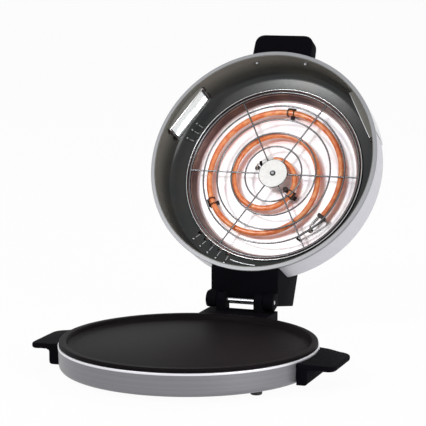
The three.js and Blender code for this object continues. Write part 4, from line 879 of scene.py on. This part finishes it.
# Support bolt beside the first clip
bolt = {"degrees": -46.0, "head": 3.8, "gap": 3.4, "nose": 2.2, "shank": 2.5}
boltOutline = trace(
    (0, 63.9), (bolt["nose"], 63.9), (bolt["nose"], 63.1), ((bolt["head"], 63.1), (bolt["head"], 64.6)),
    (bolt["head"], 66.1), (bolt["shank"], 66.1), (bolt["shank"], element["back"]), (0, element["back"]),
)
inside = spiralRadius(element["start"] - bolt["degrees"]) - element["tube"] - bolt["gap"] - bolt["head"]
shape = moved(lathe(boltOutline, 32), Matrix.Translation(lidPoint(bolt["degrees"], inside, 0)))
addPiece("elementBolt", shape, "lid", "darkSteel", "element_support_bolt")

# Guard: five wire rings on six spokes, with a hub ring, and a bezel round the pan's mouth
guard = {
    "depth": 56.6, "hub": 5.5, "rings": (40.7, 61.0, 81.3, 101.7, 122.0), "wire": 1.2, "spokes": 6,
    "spoke": 1.1, "spokeEnd": 123.4, "spokeStep": 0.5,
}
bezel = {"radius": 126.1, "wire": 1.0, "height": 55.4}
wires = [loop(radius, guard["wire"], guard["depth"]) for radius in (guard["hub"], *guard["rings"])]
for i in range(guard["spokes"]):
    spoke = rod(guard["spoke"], guard["hub"], guard["spokeEnd"], 16)
    wires.append(moved(spoke, radially(360 // guard["spokes"] * i, guard["depth"] + guard["spokeStep"])))
addPiece("wireGuard", together(*wires), "lid", "wire", "guard_grille")
shape = loop(**bezel, steps=mesh["fineTurns"])
addPiece("panBezel", shape, "lid", "trim", "reflector_bezel")

# The guard's white disc, with its wire edge, its washer, and the post that it is screwed to
disc = {"radius": 20.0, "hole": 2.4, "front": 53.9, "back": 55.1, "round": 0.6}
discEdge = {"radius": 20.4, "wire": 0.6, "height": 54.9}
washer = {"hole": 2.5, "radius": 3.9, "front": 53.0, "back": 53.95}
post = {"hole": 2.2, "radius": 7.0, "front": 58.1, "holeEnd": 72.3}
hole, radius, low, high = disc["hole"], disc["radius"], disc["front"], disc["back"]
discOutline = trace(
    (hole, high), (hole, low), (radius - disc["round"], low), ((radius, low), (radius, low + disc["round"])),
    ((radius, high), (radius - disc["round"], high)),
)
hole, radius, low, high = washer["hole"], washer["radius"], washer["front"], washer["back"]
washerOutline = trace(
    (hole, high), (hole, low + 0.2), (radius - 0.4, low), ((radius, low), (radius, low + 0.5)),
    (radius, high),
)
hole, radius, low, end = post["hole"], post["radius"], post["front"], post["holeEnd"]
postOutline = trace(
    (0, end), (hole, end), (hole, low), (radius - 0.4, low), ((radius, low), (radius, low + 0.4)),
    (radius, element["back"]), (0, element["back"]),
)
addPiece("guardDisc", lathe(discOutline), "lid", "ceramic", "guard_centre_disc")
addPiece("guardDiscEdge", loop(**discEdge), "lid", "wire")
# A dark rubber washer round the guard screw, standing in for the shade of the recess there: painted shade.
addPiece("guardShadeWasher", lathe(washerOutline, 40), "lid", "rubber")
addPiece("guardPost", lathe(postOutline, 48), "lid", "ceramic", "guard_post")

# Screws: the guard's, and those through the lid's wall with their heads inside
screwHead = {"high": 2.2, "crown": 0.45, "slot": 0.5, "slotHalf": 1.9, "slotDeep": 1.0, "shank": 1.6}
guardScrew = {"head": 2.5, "seat": 53.3, "tip": 70.0}
wallScrew = {"head": 2.4, "seat": 152.2, "tip": 166.0}
wallScrews = {
    "left_lid_handle": (103.4, 15.0), "right_lid_handle": (76.6, 15.0), "left_block": (-96.0, 20.0),
    "right_block": (-84.0, 20.0),
}


def screw(head, seat, tip):
    # A pan head with a crossed recess, its axis along Z and its seat facing +Z.
    crown, shank = seat - screwHead["high"], screwHead["shank"]
    outline = trace(
        (0, crown), (head * screwHead["crown"], crown), ((head, seat - 2.0), (head, seat - 0.4)),
        (head, seat), (shank, seat), (shank, tip), (0, tip),
    )
    wide = (-screwHead["slotHalf"], screwHead["slotHalf"])
    narrow = (-screwHead["slot"], screwHead["slot"])
    deep = (seat - 3, seat - screwHead["slotDeep"])
    recess = carve(block(wide, narrow, deep), block(narrow, wide, deep), operation="UNION")
    return carve(lathe(outline, 32), recess)


addPiece("guardScrew", screw(**guardScrew), "lid", "zinc", "guard_screw")
for place, (degrees, depth) in wallScrews.items():
    side, *rest = place.split("_")
    shape = moved(screw(**wallScrew), radially(-degrees, depth))
    name = side + "".join(word.title() for word in rest) + "Screw"
    addPiece(name, shape, "lid", "zinc", f"{place}_screw")
print("lid inside dressed")

# Window pockets: a sheet tray through the wall with a ledge, a gasket, a pane, tabs and an inner skirt
pocket = {
    "front": 143.9, "wall": 1.1, "outside": 159.1, "ledge": (147.5, 149.3), "ledgeIn": 3.2, "edge": 0.3,
}
gasket = {"from": 144.4, "to": 145.2, "wide": 1.3, "edge": 0.25}
pane = {"from": 145.2, "to": 147.2, "inset": 1.8, "edge": 0.4}
skirt = {"from": 144.7, "to": 160.0, "outside": 0.5, "overlap": 0.1, "radius": 153.3}
tab = {"from": 143.5, "to": 147.5, "thick": 1.8, "half": 3.5, "aside": 1.2, "inset": 8.0, "edge": 0.3}


def windowSpan(inset):
    half = window["half"] - inset
    return (-half, half), (window["near"] + inset, window["far"] - inset)


def windowRing(low, high, outer, inner):
    return carve(block((low, high), *windowSpan(outer)), block((low - 9, high + 9), *windowSpan(inner)))


for side in ("right", "left"):
    turn = atAngle(window[side])
    ledge = windowRing(*pocket["ledge"], 0.5, pocket["ledgeIn"])
    shape = carve(windowRing(pocket["front"], 170.0, 0.0, pocket["wall"]), ledge, operation="UNION")
    shape = moved(soften(shape, pocket["edge"], 2), turn)
    shape = carve(shape, roundCutter(pocket["outside"]), operation="INTERSECT")
    addPiece(f"{side}WindowTray", shape, "lid", "tray", f"{side}_window_frame")

    deep = (window["near"] - skirt["outside"], window["near"] + skirt["overlap"])
    shape = block((skirt["from"], skirt["to"]), (-window["half"], window["half"]), deep)
    shape = carve(moved(shape, turn), roundCutter(skirt["radius"]), operation="INTERSECT")
    addPiece(f"{side}WindowSkirt", shape, "lid", "enamel")

    shape = windowRing(gasket["from"], gasket["to"], pocket["wall"], pocket["wall"] + gasket["wide"])
    shape = moved(soften(shape, gasket["edge"], 2), turn)
    addPiece(f"{side}WindowGasket", shape, "lid", "rubber")

    # The tabs are real fasteners, drawn near black in oxidised steel as painted shade at the window's
    # corners.
    tabs = []
    for y in (-window["half"] - tab["aside"], window["half"] + tab["aside"]):
        for z in (window["near"] + tab["inset"], window["far"] - tab["inset"]):
            across, deep = (y - tab["thick"], y + tab["thick"]), (z - tab["half"], z + tab["half"])
            tabs.append(soften(block((tab["from"], tab["to"]), across, deep), tab["edge"], 2))
    addPiece(f"{side}WindowShadeTabs", moved(together(*tabs), turn), "lid", "darkSteel")

    shape = soften(block((pane["from"], pane["to"]), *windowSpan(pane["inset"])), pane["edge"], 2)
    node = f"{side}_window_glass"
    addPiece(f"{side}WindowPane", moved(shape, turn), "lid", "glass", node, 10.0)

# Lid handle: a block with rounded corners on a plate that follows the wall
grip = {
    "tip": 42.0, "root": 42.8, "start": -150.0, "end": -189.5, "low": 10.0, "high": 35.0, "corner": 15.0,
    "edge": 3.0,
}
gripPlate = {"half": 49.0, "beyond": 3.0, "radius": 161.4, "fit": 158.8, "edge": 0.8}
halfGrip = roundedSide(
    [(-grip["tip"], grip["end"] + grip["corner"])],
    (-grip["tip"], grip["end"]),
    (grip["corner"] - grip["tip"], grip["end"]),
)
gripOutline = [
    (-grip["root"], grip["start"]), *halfGrip, *[(-x, y) for x, y in reversed(halfGrip)],
    (grip["root"], grip["start"]),
]
shape = soften(slab(gripOutline, grip["low"], grip["high"]), grip["edge"], 4)
curved = carve(
    roundCutter(gripPlate["radius"], grip["low"] - gripPlate["beyond"], grip["high"] + gripPlate["beyond"]),
    block((-gripPlate["half"], gripPlate["half"]), (-170, -120), (0, 60)),
    operation="INTERSECT",
)
shape = carve(shape, soften(curved, gripPlate["edge"], 2, 50), operation="UNION")
shape = carve(shape, roundCutter(gripPlate["fit"]))
addPiece("lidHandle", shape, "lid", "phenolic", "lid_handle", 40.0)

# Hinge block: a hood cut to the dome, and two lugs on the pin
hood = {"half": 47.0, "edge": 1.4}
lug = {"inner": 33.0, "outer": 47.0, "radius": 11.0, "top": 13.1, "front": 6.6, "lean": 28.0, "edge": 0.8}
hoodOutline = [(120.0, 2.1), (157.5, 2.1), (199.0, 24.17), (178.0, 90.5), (120.0, 90.5)]
dome = trace(
    (0, -10), (159.8, -10), (159.8, 4.2), (158.8, 5.2), (157.8, 46.0), ((154.3, 70.2), (119.1, 80.4)),
    ((76.3, 92.4), (0, 92.4)),
)
shape = soften(moved(slab(hoodOutline, -hood["half"], hood["half"]), sideways), hood["edge"], 3)
shape = carve(shape, lathe(dome, mesh["fineTurns"]))
addPiece("hingeHood", shape, "lid", "phenolic", "hinge_block", 40.0)
lugOutline = [
    *arc((0, 0), lug["radius"], 180, 360, 10), (lug["front"], lug["top"]), (-lug["radius"], lug["top"]),
]
pinInLid = (0, opened["hingeY"], opened["hingeZ"] - opened["lidRim"])
leaning = Matrix.Translation(pinInLid) @ Matrix.Rotation(radians(lug["lean"]), 4, "X")
lugs = []
for low, high in ((-lug["outer"], -lug["inner"]), (lug["inner"], lug["outer"])):
    shape = moved(slab(lugOutline, low, high), sideways)
    shape = carve(shape, moved(rod(pin["hole"], -60, 60), Matrix.Rotation(pi / 2, 4, "Y")))
    lugs.append(moved(soften(shape, lug["edge"], 2), leaning))
addPiece("hingeLugs", together(*lugs), "lid", "phenolic", "hinge_block", 40.0)
print("lid outside dressed")

# Pieces that keep their own solids get their real finish
dress("steel", "base_floor")
dress("reflector", "lower_reflector_tray")
dress("darkSteel", "lower_heating_element")
dress("zinc", "plate_thermostat", "centre_spacer", "centre_plate_screw")
dress("zinc", "plate_screw_1", "plate_screw_2", "plate_screw_3")
for side in ("left", "right"):
    dress("zinc", f"{side}_bracket_screw", f"{side}_handle_front_screw", f"{side}_handle_rear_screw")
dress("ceramic", "thermal_fuse", "terminal_block")
dress("braid", "left_lower_lead", "right_lower_lead")

# Studio: a pale floor, white to the camera, that keeps a soft shadow, and three soft lamps
room = {"floorZ": -0.036, "half": 30.0, "grain": 20.0, "shadowShare": 0.045, "ambient": 0.36}
lamps = {  # place, target and size in metres, and power in watts
    "keySoftbox": ((2.2, -0.9, 0.6), (0, 0.1, 0.15), (1.2, 1.2), 31),
    "fillSoftbox": ((-0.84, -1.5, 1.25), (0, 0.25, 0.2), (0.45, 0.35), 17),
    "rearSoftbox": ((0.3, 1.6, 1.9), (0, 0.1, 0.1), (1.4, 1.0), 12),
}
white = {"Color": linear("#ffffff"), "Strength": 1.0}


def seenRays(tree):
    # 1 for a ray from the camera, off a gloss or through glass, and 0 for light on its way to a surface.
    path = addNode(tree, "LightPath")
    seen = path.outputs["Is Camera Ray"]
    for kind in ("Is Glossy Ray", "Is Transmission Ray"):
        seen = addNode(tree, "Math", {0: seen, 1: path.outputs[kind]}, operation="MAXIMUM")
    return seen


def paleFloor():
    # Matt off-white paper sweep: reads white, and darkens a little where the object shades it.
    material, tree, principled = startMaterial("mattPaper", Roughness=0.9)
    point = surfacePoint(tree, False)
    grain = addNode(tree, "TexNoise", {"Vector": point, "Scale": 1 / room["grain"]})
    paper = addNode(tree, "ValToRGB", {"Fac": grain}, stops=((0.3, "#f6f6f6"), (0.7, "#fbfbfb")))
    feed(tree, principled, {"Base Color": paper})
    shares = {0: seenRays(tree), 1: 1 - room["shadowShare"]}
    share = addNode(tree, "Math", shares, operation="MULTIPLY")
    lit = addNode(tree, "Emission", white)
    mix = addNode(tree, "MixShader", {"Fac": share, 1: principled, 2: lit})
    feed(tree, tree.nodes["Material Output"], {"Surface": mix})
    return material


floorMesh = bmesh.new()
level = Matrix.Translation((0, 0, room["floorZ"]))
bmesh.ops.create_grid(floorMesh, x_segments=2, y_segments=2, size=room["half"], matrix=level)
floor = looseObject(floorMesh)
floor.name = "floor"
floor.data.materials.append(paleFloor())
floor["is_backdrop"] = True

world = bpy.data.worlds.new("studio")
scene.world = world
world.use_nodes = True
sky = world.node_tree
ambient = sky.nodes["Background"]
feed(sky, ambient, {**white, "Strength": room["ambient"]})
clear = addNode(sky, "Background", white)
mix = addNode(sky, "MixShader", {"Fac": seenRays(sky), 1: ambient, 2: clear})
feed(sky, sky.nodes["World Output"], {"Surface": mix})

for name, (place, target, size, power) in lamps.items():
    light = bpy.data.lights.new(name, "AREA")
    light.shape = "RECTANGLE"
    light.size, light.size_y = size
    light.energy = power
    lamp = bpy.data.objects.new(name, light)
    scene.collection.objects.link(lamp)
    lamp.location = place
    lamp.rotation_euler = (Vector(place) - Vector(target)).to_track_quat("Z", "Y").to_euler()
scene.view_settings.view_transform = "Standard"
print("studio ready")

low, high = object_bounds()
